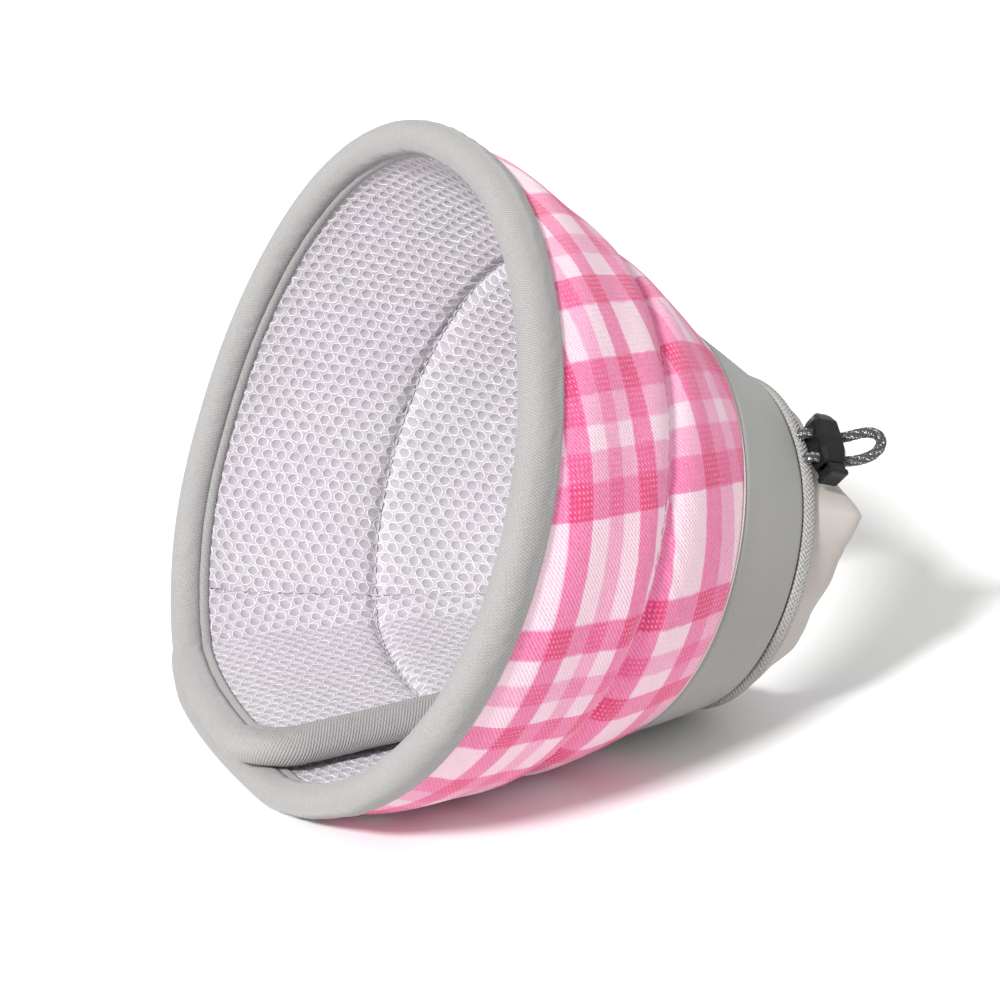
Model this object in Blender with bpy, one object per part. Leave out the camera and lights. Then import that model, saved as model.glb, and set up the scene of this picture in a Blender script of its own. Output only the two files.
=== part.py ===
"""Soft recovery cone for a pet: a quilted fan of cloth and foam, rolled into a cone that lies on its side.

The mouth opens towards -X, the neck towards +X, and the cone rests on the flattened side z = 0.
Angles round the cone are measured from +Y (0) over the top (90) to -Y (180) and the floor (270).
Lengths are in metres and angles in degrees.
"""
import math

import bmesh
import bpy
import numpy as np
from mathutils import Matrix, Vector

# Fan and cone
RIM_RADIUS = 0.1075
NECK_RADIUS = 0.054
SLANT = 0.142
PLAID_LENGTH = 0.108
START_ANGLE = -104.0
OVERLAP_ANGLE = 64.0
MERGE_ANGLE = 70.0
SLIP = 0.006
CORNER = 0.022
RIM_SINK = 0.0055
NECK_LIFT = 0.0007

# Walls
PAD = 0.0042
LINING = 0.0030
GAP = 0.0003
BINDING_WIDTH = 0.010
BINDING_WALL = 0.0012
CLOSURE_THICKNESS = 0.0020
CLOSURE_INSET = 0.016

# Neck
TAPE_WIDTH = 0.0045
TAPE_THICKNESS = 0.0010
SLEEVE_LENGTH = 0.022
SLEEVE_PLY = 0.0008
CHANNEL_ROOM = 0.0009
GATHER_DEPTH = 0.0006
GATHERS = 13
LAID_SHARE = 0.9

# Drawcord and its lock
CORD_DIAMETER = 0.0034
CORD_CLEARANCE = 0.0004
STRAND_PITCH = 0.0087
LOOP_LENGTH = 0.0130
LOCK_ANGLE = 129.0
LOCK_REACH = 0.0092
LOCK_WIDTH = 0.0096
LOCK_HEIGHT = 0.0186
LOCK_OFFSET = 0.0019
LOCK_DEPTH = 0.0095
LOCK_ROUNDING = 0.0026
BORE_WIDTH = 0.0066
BORE_FLOOR = 0.0012
BUTTON_HEAD = 0.0020
BUTTON_TRAVEL = 0.0020
FORK_WALL = 0.0010

# Steps round the cone and round each corner of the fan
RIM_STEPS = 42
CORNER_STEPS = 4

WALL = PAD + GAP + LINING
TUCK = BINDING_WALL + GAP
TUCK_END = BINDING_WIDTH + 1.5 * GAP

# Lengthwise profile: share of the slant, swell of the whole wall and sag of its centre (shares of
# the slant), and how far the outer and the inner face puff (shares of the pad and of the lining)
PROFILE = np.array([
    # at     swell   sag     outer  inner
    (0.000,  0.000,  0.000,  0.00,  0.00),
    (0.073,  0.009,  0.001,  0.00,  0.00),
    (0.130,  0.020,  0.002,  0.22,  0.10),
    (0.300,  0.028,  0.004,  0.25,  0.12),
    (0.425,  0.029,  0.006,  0.10,  0.05),
    (0.460,  0.028,  0.007,  -0.28, -0.20),
    (0.495,  0.027,  0.007,  0.10,  0.05),
    (0.620,  0.019,  0.009,  0.20,  0.12),
    (0.754,  0.006,  0.008,  0.00,  0.05),
    (0.880,  0.002,  0.005,  0.05,  0.05),
    (1.000,  0.000,  0.000,  0.00,  0.00),
])
AT, SWELL, SAG, PUFF_OUT, PUFF_IN = PROFILE.T

# How far the rim is from a true circle, as shares of its radius: order, cosine part, sine part
OUT_OF_ROUND = (
    (1, 0.006, 0.000),
    (2, 0.017, -0.003),
    (3, -0.017, -0.016),
)

# Where the rim bulges or is pressed in: angle, half width in degrees, share of its radius
BULGES = (
    (-8.0, 16.0, -0.013),
    (45.0, 24.0, 0.020),
    (88.0, 16.0, -0.013),
)

# The gathered hem of the neck sleeve: angle, length (share of the sleeve), radius (share of the neck)
HEM = np.array([
    # angle  length  radius
    (60.0,   1.00,   0.86),
    (110.0,  1.00,   0.82),
    (130.0,  1.00,   0.81),
    (149.0,  1.15,   0.97),
    (166.0,  0.98,   0.87),
    (190.0,  0.82,   0.86),
    (205.0,  0.74,   0.89),
    (216.0,  0.60,   0.92),
    (240.0,  0.62,   0.88),
    (290.0,  0.85,   0.85),
    (360.0,  1.00,   0.86),
])

LAYER_STEP = (WALL + max(PUFF_OUT) * PAD + max(PUFF_IN) * LINING + CLOSURE_THICKNESS + 4 * GAP)
FLARE = math.asin((RIM_RADIUS - NECK_RADIUS) / SLANT)
LEAN = FLARE - math.asin(RIM_SINK / SLANT)
RIM_LEAN = LEAN + math.radians(0.9)
NECK_LEAN = LEAN - math.radians(2.3)
RIM_HEIGHT = RIM_RADIUS * math.cos(RIM_LEAN) - RIM_SINK
NECK_HEIGHT = NECK_RADIUS * math.cos(NECK_LEAN) + NECK_LIFT
NECK_X = math.sqrt((SLANT * math.cos(FLARE)) ** 2 - (RIM_HEIGHT - NECK_HEIGHT) ** 2)
END_ANGLE = START_ANGLE + 360.0 + OVERLAP_ANGLE


def axes_at(lean):
    """The cone's axis towards the neck, and the direction of 90 degrees, for a ring that leans."""
    lean = np.asarray(lean, float)
    axis = np.stack([np.cos(lean), 0 * lean, -np.sin(lean)], -1)
    top = np.stack([np.sin(lean), 0 * lean, np.cos(lean)], -1)
    return axis, top


def spiral(angle):
    """How far the overlapping ends lie from the common wall: the first end inside, the last outside."""
    share = np.clip((angle - START_ANGLE) / MERGE_ANGLE, 0, 1)
    inner = 1 - share * share * (3 - 2 * share)
    share = np.clip((angle - START_ANGLE - 360.0) / MERGE_ANGLE, 0, 1)
    outer = share * share * (3 - 2 * share)
    return LAYER_STEP * (outer - inner), -SLIP * inner


def ring_radius(angle, share):
    """Radius of the outer face, from rim to neck, with the rim's slow waves."""
    turn = np.radians(angle)
    wave = sum(c * np.cos(n * turn) + s * np.sin(n * turn) for n, c, s in OUT_OF_ROUND)
    for middle, width, share_of_radius in BULGES:
        away = (angle - middle + 180) % 360 - 180
        wave = wave + share_of_radius * np.exp(-(away / width) ** 2)
    straight = RIM_RADIUS + (NECK_RADIUS - RIM_RADIUS) * share
    return (straight + np.interp(share, AT, SWELL) * SLANT) * (1 + (1 - share) * wave)


def place(angle, along, depth):
    """Point on the cone: angle, distance along the slant from the rim, and depth outwards."""
    share = along / SLANT
    axis, top = axes_at(RIM_LEAN + (NECK_LEAN - RIM_LEAN) * share)
    step, slip = spiral(angle)
    out = depth + step
    reach = ring_radius(angle, share) + out * math.cos(FLARE)
    turn = np.radians(angle)
    point = np.stack([
        NECK_X * share,
        reach * np.cos(turn),
        RIM_HEIGHT + (NECK_HEIGHT - RIM_HEIGHT) * share - np.interp(share, AT, SAG) * SLANT,
    ], -1)
    point += top * (reach * np.sin(turn))[..., None]
    point += axis * (out * math.sin(FLARE) + slip)[..., None]
    below = np.where(angle < START_ANGLE + MERGE_ANGLE, LAYER_STEP, 0.0)
    point[..., 2] = np.maximum(point[..., 2], np.maximum(below - depth, 0))
    return point


def collar(angle, beyond, radius):
    """Point beyond the neck seam: angle, distance along the axis, and radius. Where it lies on the
    floor, its plies keep a share of their distance from the outermost one."""
    axis, top = axes_at(NECK_LEAN + 0 * angle)
    step, slip = spiral(angle)
    reach = radius + step * math.cos(FLARE)
    turn = np.radians(angle)
    point = np.stack([NECK_X + 0 * reach, reach * np.cos(turn), NECK_HEIGHT + 0 * reach], -1)
    point += top * (reach * np.sin(turn))[..., None]
    point += axis * (beyond + step * math.sin(FLARE) + slip)[..., None]
    lowest = np.maximum(NECK_RADIUS - radius, 0) * LAID_SHARE
    point[..., 2] = np.maximum(point[..., 2], lowest)
    return point


def station_angle(station, along):
    """Angle of a station: 0 to 1 is the first corner, 1 to 2 the rim between, 2 to 3 the last corner."""
    share = along / SLANT
    radius = RIM_RADIUS + (NECK_RADIUS - RIM_RADIUS) * share
    corner = np.degrees(CORNER / radius)
    first, last = START_ANGLE + corner, END_ANGLE - corner
    return np.where(
        station < 1, START_ANGLE + corner * station,
        np.where(station > 2, END_ANGLE - corner * (3 - station), first + (last - first) * (station - 1)))


def rim_line(inset):
    """Stations and slant distances of a line that runs this far inside the rim and its round corners."""
    turn = np.radians(np.linspace(0, 90, CORNER_STEPS + 1))
    station = 1 - (1 - inset / CORNER) * np.cos(turn)
    along = CORNER - (CORNER - inset) * np.sin(turn)
    between = np.linspace(1, 2, RIM_STEPS + 1)[1:-1]
    return (np.concatenate([station, between, 3 - station[::-1]]),
            np.concatenate([along, 0 * between + inset, along[::-1]]))


def rows_above(start, rows):
    """Slant distances above a start: rows past the corner stay, and the ones in it close up."""
    inset = BINDING_WIDTH + 2 * GAP
    clear = min(row for row in rows if row > CORNER)
    squeezed = [start + (row - inset) * (clear - start) / (clear - inset) for row in rows if row < clear]
    return squeezed + [row for row in rows if row >= clear]


def fan(insets, rows):
    """Stations, slant distances and insets of a sheet with three bound edges, and its faces."""
    lines = [rim_line(inset) for inset in insets]
    station = [line[0] for line in lines]
    along = [line[1] for line in lines]
    depth = [0 * line[0] + inset for line, inset in zip(lines, insets)]
    climbed = np.array([rows_above(start, rows) for start in along[-1]]).T
    for row in climbed:
        station.append(station[-1] if len(station) > len(insets) else lines[-1][0])
        along.append(row)
        depth.append(0 * row + 1.0)
    patches = [(np.array(station), np.array(along), np.array(depth))]
    side_rows = np.concatenate([[CORNER], climbed[:, 0]])
    inset_grid = np.tile(np.array(insets), (len(side_rows), 1))
    row_grid = np.tile(side_rows[:, None], (1, len(insets)))
    patches.append((inset_grid / CORNER, row_grid, inset_grid))
    patches.append((3 - inset_grid[:, ::-1] / CORNER, row_grid, inset_grid[:, ::-1]))
    return join_patches(patches)


def join_patches(patches):
    """One list of points and one list of faces from grids whose shared edges have the same values."""
    keys, faces, seen = [], [], {}
    for station, along, depth in patches:
        number = np.zeros(station.shape, int)
        for place_in_grid in np.ndindex(station.shape):
            key = tuple(round(float(grid[place_in_grid]), 7) for grid in (station, along))
            if key not in seen:
                seen[key] = len(keys)
                keys.append((station[place_in_grid], along[place_in_grid], depth[place_in_grid]))
            number[place_in_grid] = seen[key]
        faces += grid_faces(number)
    return np.array(keys).T, faces


def grid_faces(number):
    """Quads of a grid of point numbers."""
    corners = np.stack([number[:-1, :-1], number[:-1, 1:], number[1:, 1:], number[1:, :-1]], -1)
    return [tuple(int(i) for i in quad) for quad in corners.reshape(-1, 4)]


def material(name, colour, roughness, metallic=0.0):
    """A Principled material for one piece."""
    made = bpy.data.materials.new(name)
    made.use_nodes = True
    shader = made.node_tree.nodes["Principled BSDF"]
    shader.inputs["Base Color"].default_value = (*colour, 1.0)
    shader.inputs["Roughness"].default_value = roughness
    shader.inputs["Metallic"].default_value = metallic
    made.diffuse_color = (*colour, 1.0)
    return made


def closed_sheet(name, outer, inner, faces, finish):
    """A closed wall between two faces of the same layout, with walls along every open edge."""
    count = len(outer)
    edges = {}
    for face in faces:
        for first, second in zip(face, face[1:] + face[:1]):
            edges[(first, second)] = True
    rim = [edge for edge in edges if (edge[1], edge[0]) not in edges]
    solid = list(faces)
    solid += [tuple(i + count for i in reversed(face)) for face in faces]
    solid += [(second, first, first + count, second + count) for first, second in rim]
    return mesh_object(name, np.concatenate([outer, inner]), solid, finish)


def mesh_object(name, points, faces, finish):
    """A named object whose faces all point outwards."""
    mesh = bpy.data.meshes.new(name)
    mesh.from_pydata([tuple(p) for p in points], [], faces)
    work = bmesh.new()
    work.from_mesh(mesh)
    bmesh.ops.remove_doubles(work, verts=work.verts, dist=1e-6)
    bmesh.ops.recalc_face_normals(work, faces=work.faces)
    bmesh.ops.triangulate(work, faces=work.faces)
    work.to_mesh(mesh)
    work.free()
    mesh.shade_smooth()
    mesh.set_sharp_from_angle(angle=math.radians(40))
    mesh.materials.append(finish)
    made = bpy.data.objects.new(name, mesh)
    PARTS.objects.link(made)
    return made


def end_fade(station, along):
    """0 on the binding of an end and 1 well inside it: a padded face swells away from its edges."""
    reach = np.minimum(station, 3 - station) * CORNER
    return np.clip((reach - BINDING_WIDTH) / CORNER, 0, 1)


def outer_puff(station, along):
    """Depth of the padded outer face."""
    return np.interp(along / SLANT, AT, PUFF_OUT) * PAD * end_fade(station, along)


def inner_puff(station, along):
    """Depth of the lining's face, inwards."""
    return -WALL - np.interp(along / SLANT, AT, PUFF_IN) * LINING * end_fade(station, along)


def sheet(name, grid, faces, outside, inside, finish):
    """A closed wall on the cone between two depths."""
    station, along = grid[0], grid[1]
    angle = station_angle(station, along)
    return closed_sheet(name, place(angle, along, outside), place(angle, along, inside), faces, finish)


def make_plaid_panel(insets, rows):
    """The plaid cover and its foam, tucked into the binding at the rim and at both ends."""
    grid, faces = fan(insets, [row for row in rows if row <= PLAID_LENGTH - GAP])
    station, along, inset = grid
    outside = np.where(inset < TUCK_END, -TUCK, outer_puff(station, along))
    sheet("plaid_panel", grid, faces, outside, 0 * outside - PAD,
          material("plaid cover", (0.86, 0.70, 0.72), 0.85))


def make_mesh_lining(insets, rows):
    """The air mesh inside, tucked into the binding too, and as long as the whole cone."""
    grid, faces = fan(insets, rows)
    station, along, inset = grid
    inside = np.where(inset < TUCK_END, -WALL + TUCK, inner_puff(station, along))
    sheet("mesh_lining", grid, faces, 0 * inside - PAD - GAP, inside,
          material("air mesh", (0.80, 0.79, 0.82), 0.80))


def make_grey_panel(insets, rows):
    """The plain band between the plaid and the neck seam, tucked into the binding at both ends."""
    line = rim_line(insets[-1])[0]
    side = np.array(insets[:-1]) / CORNER
    columns = np.concatenate([side, line, 3 - side[::-1]])
    climb = [PLAID_LENGTH + GAP] + [row for row in rows if row > PLAID_LENGTH + GAP]
    station, along = np.meshgrid(columns, climb)
    number = np.arange(station.size).reshape(station.shape)
    station, along = station.ravel(), along.ravel()
    inset = np.minimum(station, 3 - station) * CORNER
    outside = np.where(inset < TUCK_END, -TUCK, outer_puff(station, along))
    sheet("grey_panel", (station, along), grid_faces(number), outside, 0 * outside - PAD,
          material("grey cover", (0.45, 0.44, 0.45), 0.75))


def make_edge_binding(rows):
    """A strip folded over the edge: up one end, along the rim and down the other end."""
    nose = WALL / 2
    flank = BINDING_WIDTH - nose
    bend = np.radians([0, 45, 90, 135, 180])
    outer = np.array([(flank + nose, 0)] + [(nose - nose * math.sin(t), nose * (math.cos(t) - 1))
                                            for t in bend] + [(flank + nose, -2 * nose)])
    small = nose - BINDING_WALL
    inner = np.array([(flank + nose, -BINDING_WALL)]
                     + [(nose - small * math.sin(t), small * math.cos(t) - nose) for t in bend]
                     + [(flank + nose, BINDING_WALL - 2 * nose)])
    faces = grid_faces(np.arange(len(outer) * border_size(rows)).reshape(len(outer), -1))
    sides = []
    for profile in (outer, inner):
        points = []
        for inset, depth in profile:
            station, along = border(inset, rows)
            angle = station_angle(station, along)
            points.append(place(angle, along, depth + 0 * along))
        sides.append(np.concatenate(points))
    closed_sheet("edge_binding", sides[0], sides[1], faces,
                 material("binding twill", (0.47, 0.46, 0.45), 0.80))


def border(inset, rows):
    """Stations and slant distances of a line this far inside all three bound edges."""
    station, along = rim_line(inset)
    sides = np.array(rows_above(CORNER, rows))
    left = 0 * sides + inset / CORNER
    return (np.concatenate([left, station, 3 - left]),
            np.concatenate([sides[::-1], along, sides]))


def border_size(rows):
    """How many points such a line has."""
    return len(border(BINDING_WIDTH, rows)[0])


def make_closure_tape(rows):
    """The hidden hook-and-loop closure between the two layers, one plain strip along the slant. It
    has the columns and rows of the wall under it."""
    climb = [row for row in rows if CORNER < row < SLANT - CLOSURE_INSET / 2]
    line = rim_line(BINDING_WIDTH)[0]
    last = START_ANGLE + OVERLAP_ANGLE - np.degrees(CLOSURE_INSET / RIM_RADIUS)
    columns = line[(line >= 1) & (station_angle(line, 0 * line) < last)]
    station, along = np.meshgrid(columns, climb)
    number = np.arange(station.size).reshape(station.shape)
    along = along.ravel()
    angle = station_angle(station.ravel(), along)
    low = np.interp(along / SLANT, AT, np.maximum(PUFF_OUT, 0)) * PAD + 1.5 * GAP
    closed_sheet("closure_tape", place(angle, along, low + CLOSURE_THICKNESS), place(angle, along, low),
                 grid_faces(number), material("closure tape", (0.36, 0.35, 0.36), 0.9))


def neck_angles():
    """Angles round the neck, from one end of the fan to the other."""
    line = rim_line(BINDING_WIDTH)[0]
    return station_angle(line, SLANT + 0 * line)


def make_neck_tape():
    """The flat tape over the seam, its face level with the grey band's."""
    angle = neck_angles()
    rows = np.array([GAP, TAPE_WIDTH])
    slope = np.array([0.0, TAPE_THICKNESS / 2])
    outer = np.concatenate([collar(angle, row, NECK_RADIUS - drop + 0 * angle)
                            for row, drop in zip(rows, slope)])
    inner = np.concatenate([collar(angle, row, NECK_RADIUS - drop - TAPE_THICKNESS + 0 * angle)
                            for row, drop in zip(rows, slope)])
    faces = grid_faces(np.arange(2 * len(angle)).reshape(2, -1))
    closed_sheet("neck_tape", outer, inner, faces, material("neck tape", (0.66, 0.65, 0.65), 0.85))


def hem_at(angle):
    """Length and radius of the gathered hem at an angle, its folds included."""
    wrapped = np.mod(angle, 360.0)
    table = np.vstack([HEM[-1] - (360.0, 0, 0), HEM])
    length = np.interp(wrapped, table[:, 0], table[:, 1]) * SLEEVE_LENGTH
    radius = np.interp(wrapped, table[:, 0], table[:, 2]) * NECK_RADIUS
    quiet = np.clip(np.abs(wrapped - LOCK_ANGLE) / 16 - 0.6, 0, 1)
    fold = np.sin(np.radians(wrapped * GATHERS)) * GATHER_DEPTH * quiet
    return length, radius + fold


def sleeve_sides(angle):
    """The folded channel in section, as distances beyond the seam and radii: its skin and its hollow."""
    length, radius = hem_at(angle)
    channel = SLEEVE_PLY + CHANNEL_ROOM + CORD_DIAMETER / 2
    root = NECK_RADIUS - 1.5 * TAPE_THICKNESS - GAP + 0 * angle
    middle = (root + radius) / 2
    cuff = length - channel
    waist = TAPE_WIDTH + 0.5 * (cuff - TAPE_WIDTH)
    skin = [
        (GAP + 0 * angle, root), (TAPE_WIDTH + 0 * angle, root - GAP), (waist, middle), (cuff, radius),
        (length, radius - channel), (cuff, radius - 2 * channel), (waist, radius - 2 * channel),
        (GAP + 0 * angle, root - 2 * SLEEVE_PLY - GAP)]
    ply = SLEEVE_PLY
    hollow = [
        (GAP + 0 * angle, root - ply), (TAPE_WIDTH + 0 * angle, root - GAP - ply), (waist, middle - ply),
        (cuff, radius - ply), (length - ply, radius - channel), (cuff, radius - 2 * channel + ply),
        (waist, radius - 2 * channel + ply), (GAP + 0 * angle, root - ply - GAP)]
    return skin, hollow


def make_neck_sleeve():
    """The thin neck channel, folded double over the drawcord and gathered by it."""
    angle = neck_angles()
    skin, hollow = sleeve_sides(angle)
    faces = grid_faces(np.arange(len(skin) * len(angle)).reshape(len(skin), -1))
    closed_sheet("neck_sleeve", np.concatenate([collar(angle, a, r) for a, r in skin]),
                 np.concatenate([collar(angle, a, r) for a, r in hollow]), faces,
                 material("neck sleeve", (0.72, 0.69, 0.66), 0.85))


def tube(name, points, finish):
    """A cord: a round tube along a smooth list of points, closed at both ends."""
    curve = bpy.data.curves.new(name, "CURVE")
    curve.dimensions = "3D"
    curve.bevel_depth = CORD_DIAMETER / 2
    curve.bevel_resolution = 2
    curve.use_fill_caps = True
    spline = curve.splines.new("POLY")
    spline.points.add(len(points) - 1)
    spline.points.foreach_set("co", np.column_stack([points, np.ones(len(points))]).ravel())
    curve.materials.append(finish)
    made = bpy.data.objects.new(name, curve)
    PARTS.objects.link(made)
    return made


def smooth_route(points, steps):
    """Catmull-Rom curve through hand-picked points, with so many steps between each two."""
    points = np.array(points, float)
    full = np.vstack([2 * points[0] - points[1], points, 2 * points[-1] - points[-2]])
    share = (np.arange(steps) / steps)[:, None]
    pieces = []
    for a, b, c, d in zip(full, full[1:], full[2:], full[3:]):
        pieces.append(0.5 * (2 * b + (c - a) * share + (2 * a - 5 * b + 4 * c - d) * share ** 2
                             + (3 * b - a - 3 * c + d) * share ** 3))
    return np.vstack(pieces + [points[-1:]])


def make_hem_cord():
    """The drawcord's hidden stretch, round the neck inside the channel, a little short of its nose."""
    angle = neck_angles()[1:-1]
    cuff, radius = sleeve_sides(angle)[0][3]
    centre = radius - SLEEVE_PLY - CHANNEL_ROOM - CORD_DIAMETER / 2
    tube("hem_cord", collar(angle, cuff - CORD_DIAMETER / 4, centre),
         material("hem cord", (0.16, 0.16, 0.17), 0.8))


def lock_frame():
    """Where the cord lock sits: x along the cord, y away from the button, z away from the neck."""
    turn = math.radians(LOCK_ANGLE)
    axis, top = (Vector(v) for v in axes_at(NECK_LEAN))
    out = Vector((0, math.cos(turn), 0)) + top * math.sin(turn)
    along = out.cross(axis).normalized()
    angle = np.array([LOCK_ANGLE])
    skin = sleeve_sides(angle)[0]
    contact = LOCK_REACH - LOCK_WIDTH / 2 + LOCK_ROUNDING / 3
    seat = np.interp(contact, [float(a[0]) for a, r in skin[:4]], [float(r[0]) for a, r in skin[:4]])
    centre = Vector(collar(angle, np.array([LOCK_REACH]), np.array([seat + GAP + LOCK_DEPTH / 2]))[0])
    return Matrix.Translation(centre) @ Matrix((axis, along, out)).transposed().to_4x4()


def block(name, size, centre, rounding=0.0):
    """A box with rounded edges, its scale applied."""
    mesh = bpy.data.meshes.new(name)
    work = bmesh.new()
    bmesh.ops.create_cube(work, size=1.0)
    bmesh.ops.scale(work, vec=size, verts=work.verts)
    bmesh.ops.translate(work, vec=centre, verts=work.verts)
    if rounding:
        bmesh.ops.bevel(work, geom=list(work.edges), offset=rounding, segments=3, profile=0.5,
                        affect="EDGES", clamp_overlap=True)
    work.to_mesh(mesh)
    work.free()
    return bpy.data.objects.new(name, mesh)


def cutter(made, frame):
    """Puts a cutting shape in its own collection, out of sight."""
    CUTTERS.objects.link(made)
    made.matrix_world = frame
    made.hide_render = True
    made.display_type = "WIRE"
    return made


def boolean(target, tool, operation):
    """An exact Boolean of one shape with another."""
    change = target.modifiers.new(operation.lower(), "BOOLEAN")
    change.operation = operation
    change.solver = "EXACT"
    change.object = tool


def make_cord_lock():
    """The two-hole lock: a shell with a bore, and a button whose fork straddles the strands."""
    frame = lock_frame()
    shell = block("cord_lock_shell", (LOCK_WIDTH, LOCK_HEIGHT, LOCK_DEPTH), (0, LOCK_OFFSET, 0),
                  LOCK_ROUNDING)
    PARTS.objects.link(shell)
    shell.matrix_world = frame
    fork_gap = CORD_DIAMETER + 2 * CORD_CLEARANCE
    fork_span = fork_gap + 2 * FORK_WALL
    bore = fork_span + 2 * GAP
    mouth = LOCK_OFFSET - LOCK_HEIGHT / 2
    floor = LOCK_OFFSET + LOCK_HEIGHT / 2 - BORE_FLOOR
    bore_box = block("lock bore", (BORE_WIDTH, floor - mouth + GAP, bore), (0, (floor + mouth - GAP) / 2, 0))
    boolean(shell, cutter(bore_box, frame), "DIFFERENCE")
    for side in (-1, 1):
        mesh = bpy.data.meshes.new("strand hole")
        work = bmesh.new()
        bmesh.ops.create_cone(work, cap_ends=True, segments=16, radius1=fork_gap / 2, radius2=fork_gap / 2,
                              depth=2 * LOCK_WIDTH,
                              matrix=Matrix.Translation((0, side * STRAND_PITCH / 2, 0))
                              @ Matrix.Rotation(math.radians(90), 4, "Y"))
        work.to_mesh(mesh)
        work.free()
        boolean(shell, cutter(bpy.data.objects.new("strand hole", mesh), frame), "DIFFERENCE")

    head_top = mouth - GAP - BUTTON_TRAVEL
    neck_top = -STRAND_PITCH / 2 - CORD_DIAMETER / 2 - CORD_CLEARANCE - BUTTON_TRAVEL
    neck_low = head_top - BUTTON_HEAD / 2
    neck = block("cord_lock_button", (BORE_WIDTH - 2 * GAP, neck_top - neck_low, fork_span),
                 (0, (neck_top + neck_low) / 2, 0))
    PARTS.objects.link(neck)
    neck.matrix_world = frame
    head = block("button head", (LOCK_WIDTH * 0.72, BUTTON_HEAD, LOCK_DEPTH * 0.80),
                 (0, head_top - BUTTON_HEAD / 2, 0), BUTTON_HEAD * 0.3)
    boolean(neck, cutter(head, frame), "UNION")
    leg_low = (neck_top + neck_low) / 2
    leg_top = floor - BUTTON_TRAVEL - 2 * GAP
    for side in (-1, 1):
        leg = block("button leg", (BORE_WIDTH - 2 * GAP, leg_top - leg_low, FORK_WALL),
                    (0, (leg_top + leg_low) / 2, side * (fork_gap + FORK_WALL) / 2))
        boolean(neck, cutter(leg, frame), "UNION")
    black = material("lock plastic", (0.012, 0.012, 0.013), 0.18)
    shell.data.materials.append(black)
    neck.data.materials.append(material("button plastic", (0.012, 0.012, 0.013), 0.18))
    return frame


# The drawcord's route in the lock's own axes: shares of the lock's half width, of half the strand
# pitch and of the lock's half depth (before it), then shares of the loop's length (after it)
LEAD = (
    # along  across  out
    (-1.52, 1.00, -0.42),
    (-1.38, 1.00, -0.16),
    (-1.10, 1.00, 0.00),
    (-0.50, 1.00, 0.00),
    (0.50, 1.00, 0.00),
    (1.00, 1.00, 0.00),
)
LOOP = (
    # along  across  out
    (0.20, 1.02, 0.08),
    (0.42, 1.06, 0.24),
    (0.62, 0.96, 0.44),
    (0.76, 0.58, 0.60),
    (0.81, 0.00, 0.66),
)


def drawcord_route(frame):
    """The visible cord: off the tape, through the lock, round in a loop and back again."""
    lead = [(x * LOCK_WIDTH / 2, y * STRAND_PITCH / 2, z * LOCK_DEPTH / 2) for x, y, z in LEAD]
    loop = [(LOCK_WIDTH / 2 + x * LOOP_LENGTH, y * STRAND_PITCH / 2, z * LOOP_LENGTH) for x, y, z in LOOP]
    half = lead + loop
    route = half + [(x, -y, z) for x, y, z in reversed(half[:-1])]
    smooth = smooth_route(route, 3)
    return np.array([frame @ Vector(point) for point in smooth])


for old in list(bpy.data.objects):
    bpy.data.objects.remove(old, do_unlink=True)

PARTS = bpy.data.collections.new("recovery cone")
CUTTERS = bpy.data.collections.new("cutters")
bpy.context.scene.collection.children.link(PARTS)
bpy.context.scene.collection.children.link(CUTTERS)

INSETS = (WALL / 2, BINDING_WIDTH + GAP, BINDING_WIDTH + 2 * GAP)
ROWS = sorted([share * SLANT for share in AT if BINDING_WIDTH * 1.3 < share * SLANT
               and abs(share * SLANT - PLAID_LENGTH) > 4 * GAP] + [PLAID_LENGTH - GAP])

make_plaid_panel(INSETS, ROWS)
make_grey_panel(INSETS, ROWS)
make_mesh_lining(INSETS, ROWS)
make_edge_binding(ROWS)
make_closure_tape(ROWS)
make_neck_tape()
make_neck_sleeve()
make_hem_cord()
LOCK_FRAME = make_cord_lock()
tube("drawcord", drawcord_route(LOCK_FRAME), material("drawcord", (0.16, 0.16, 0.17), 0.8))
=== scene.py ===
# %% [markdown]
# # A soft recovery cone, dressed for its portrait
#
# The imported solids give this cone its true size: a quilted fan of cloth and foam, rolled up and lying
# on its side. Here every solid gets the surface of the real thing. The shapes are worked out with numpy
# from the same few driving sizes as the solids, so that each piece lies exactly where its solid does.

# %% Load the solids
import math

import bpy
import numpy as np
from mathutils import Matrix, Vector


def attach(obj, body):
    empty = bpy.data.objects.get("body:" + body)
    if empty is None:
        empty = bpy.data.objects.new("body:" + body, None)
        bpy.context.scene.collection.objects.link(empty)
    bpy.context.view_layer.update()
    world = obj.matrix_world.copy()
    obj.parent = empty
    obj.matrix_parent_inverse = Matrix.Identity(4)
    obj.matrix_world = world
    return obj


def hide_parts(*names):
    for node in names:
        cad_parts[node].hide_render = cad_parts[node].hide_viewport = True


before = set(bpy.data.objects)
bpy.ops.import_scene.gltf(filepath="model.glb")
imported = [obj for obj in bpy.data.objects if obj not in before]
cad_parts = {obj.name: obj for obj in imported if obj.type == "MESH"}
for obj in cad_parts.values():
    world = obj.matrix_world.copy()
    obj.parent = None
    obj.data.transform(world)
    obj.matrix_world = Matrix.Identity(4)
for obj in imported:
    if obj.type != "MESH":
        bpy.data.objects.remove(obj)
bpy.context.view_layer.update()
print("solids:", sorted(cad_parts))

# %% [markdown]
# ## Camera
#
# The portrait is taken from the mouth's side, a little above the cone, with a long lens from about one
# metre. A camera looks along its own -Z, so the viewing direction is turned into a rotation.

# %% Camera
EYE = Vector((-0.35488, -0.84358, 0.42772))
VIEW = Vector((0.40695, 0.84358, -0.35037))
LENS = 117.05

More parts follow.
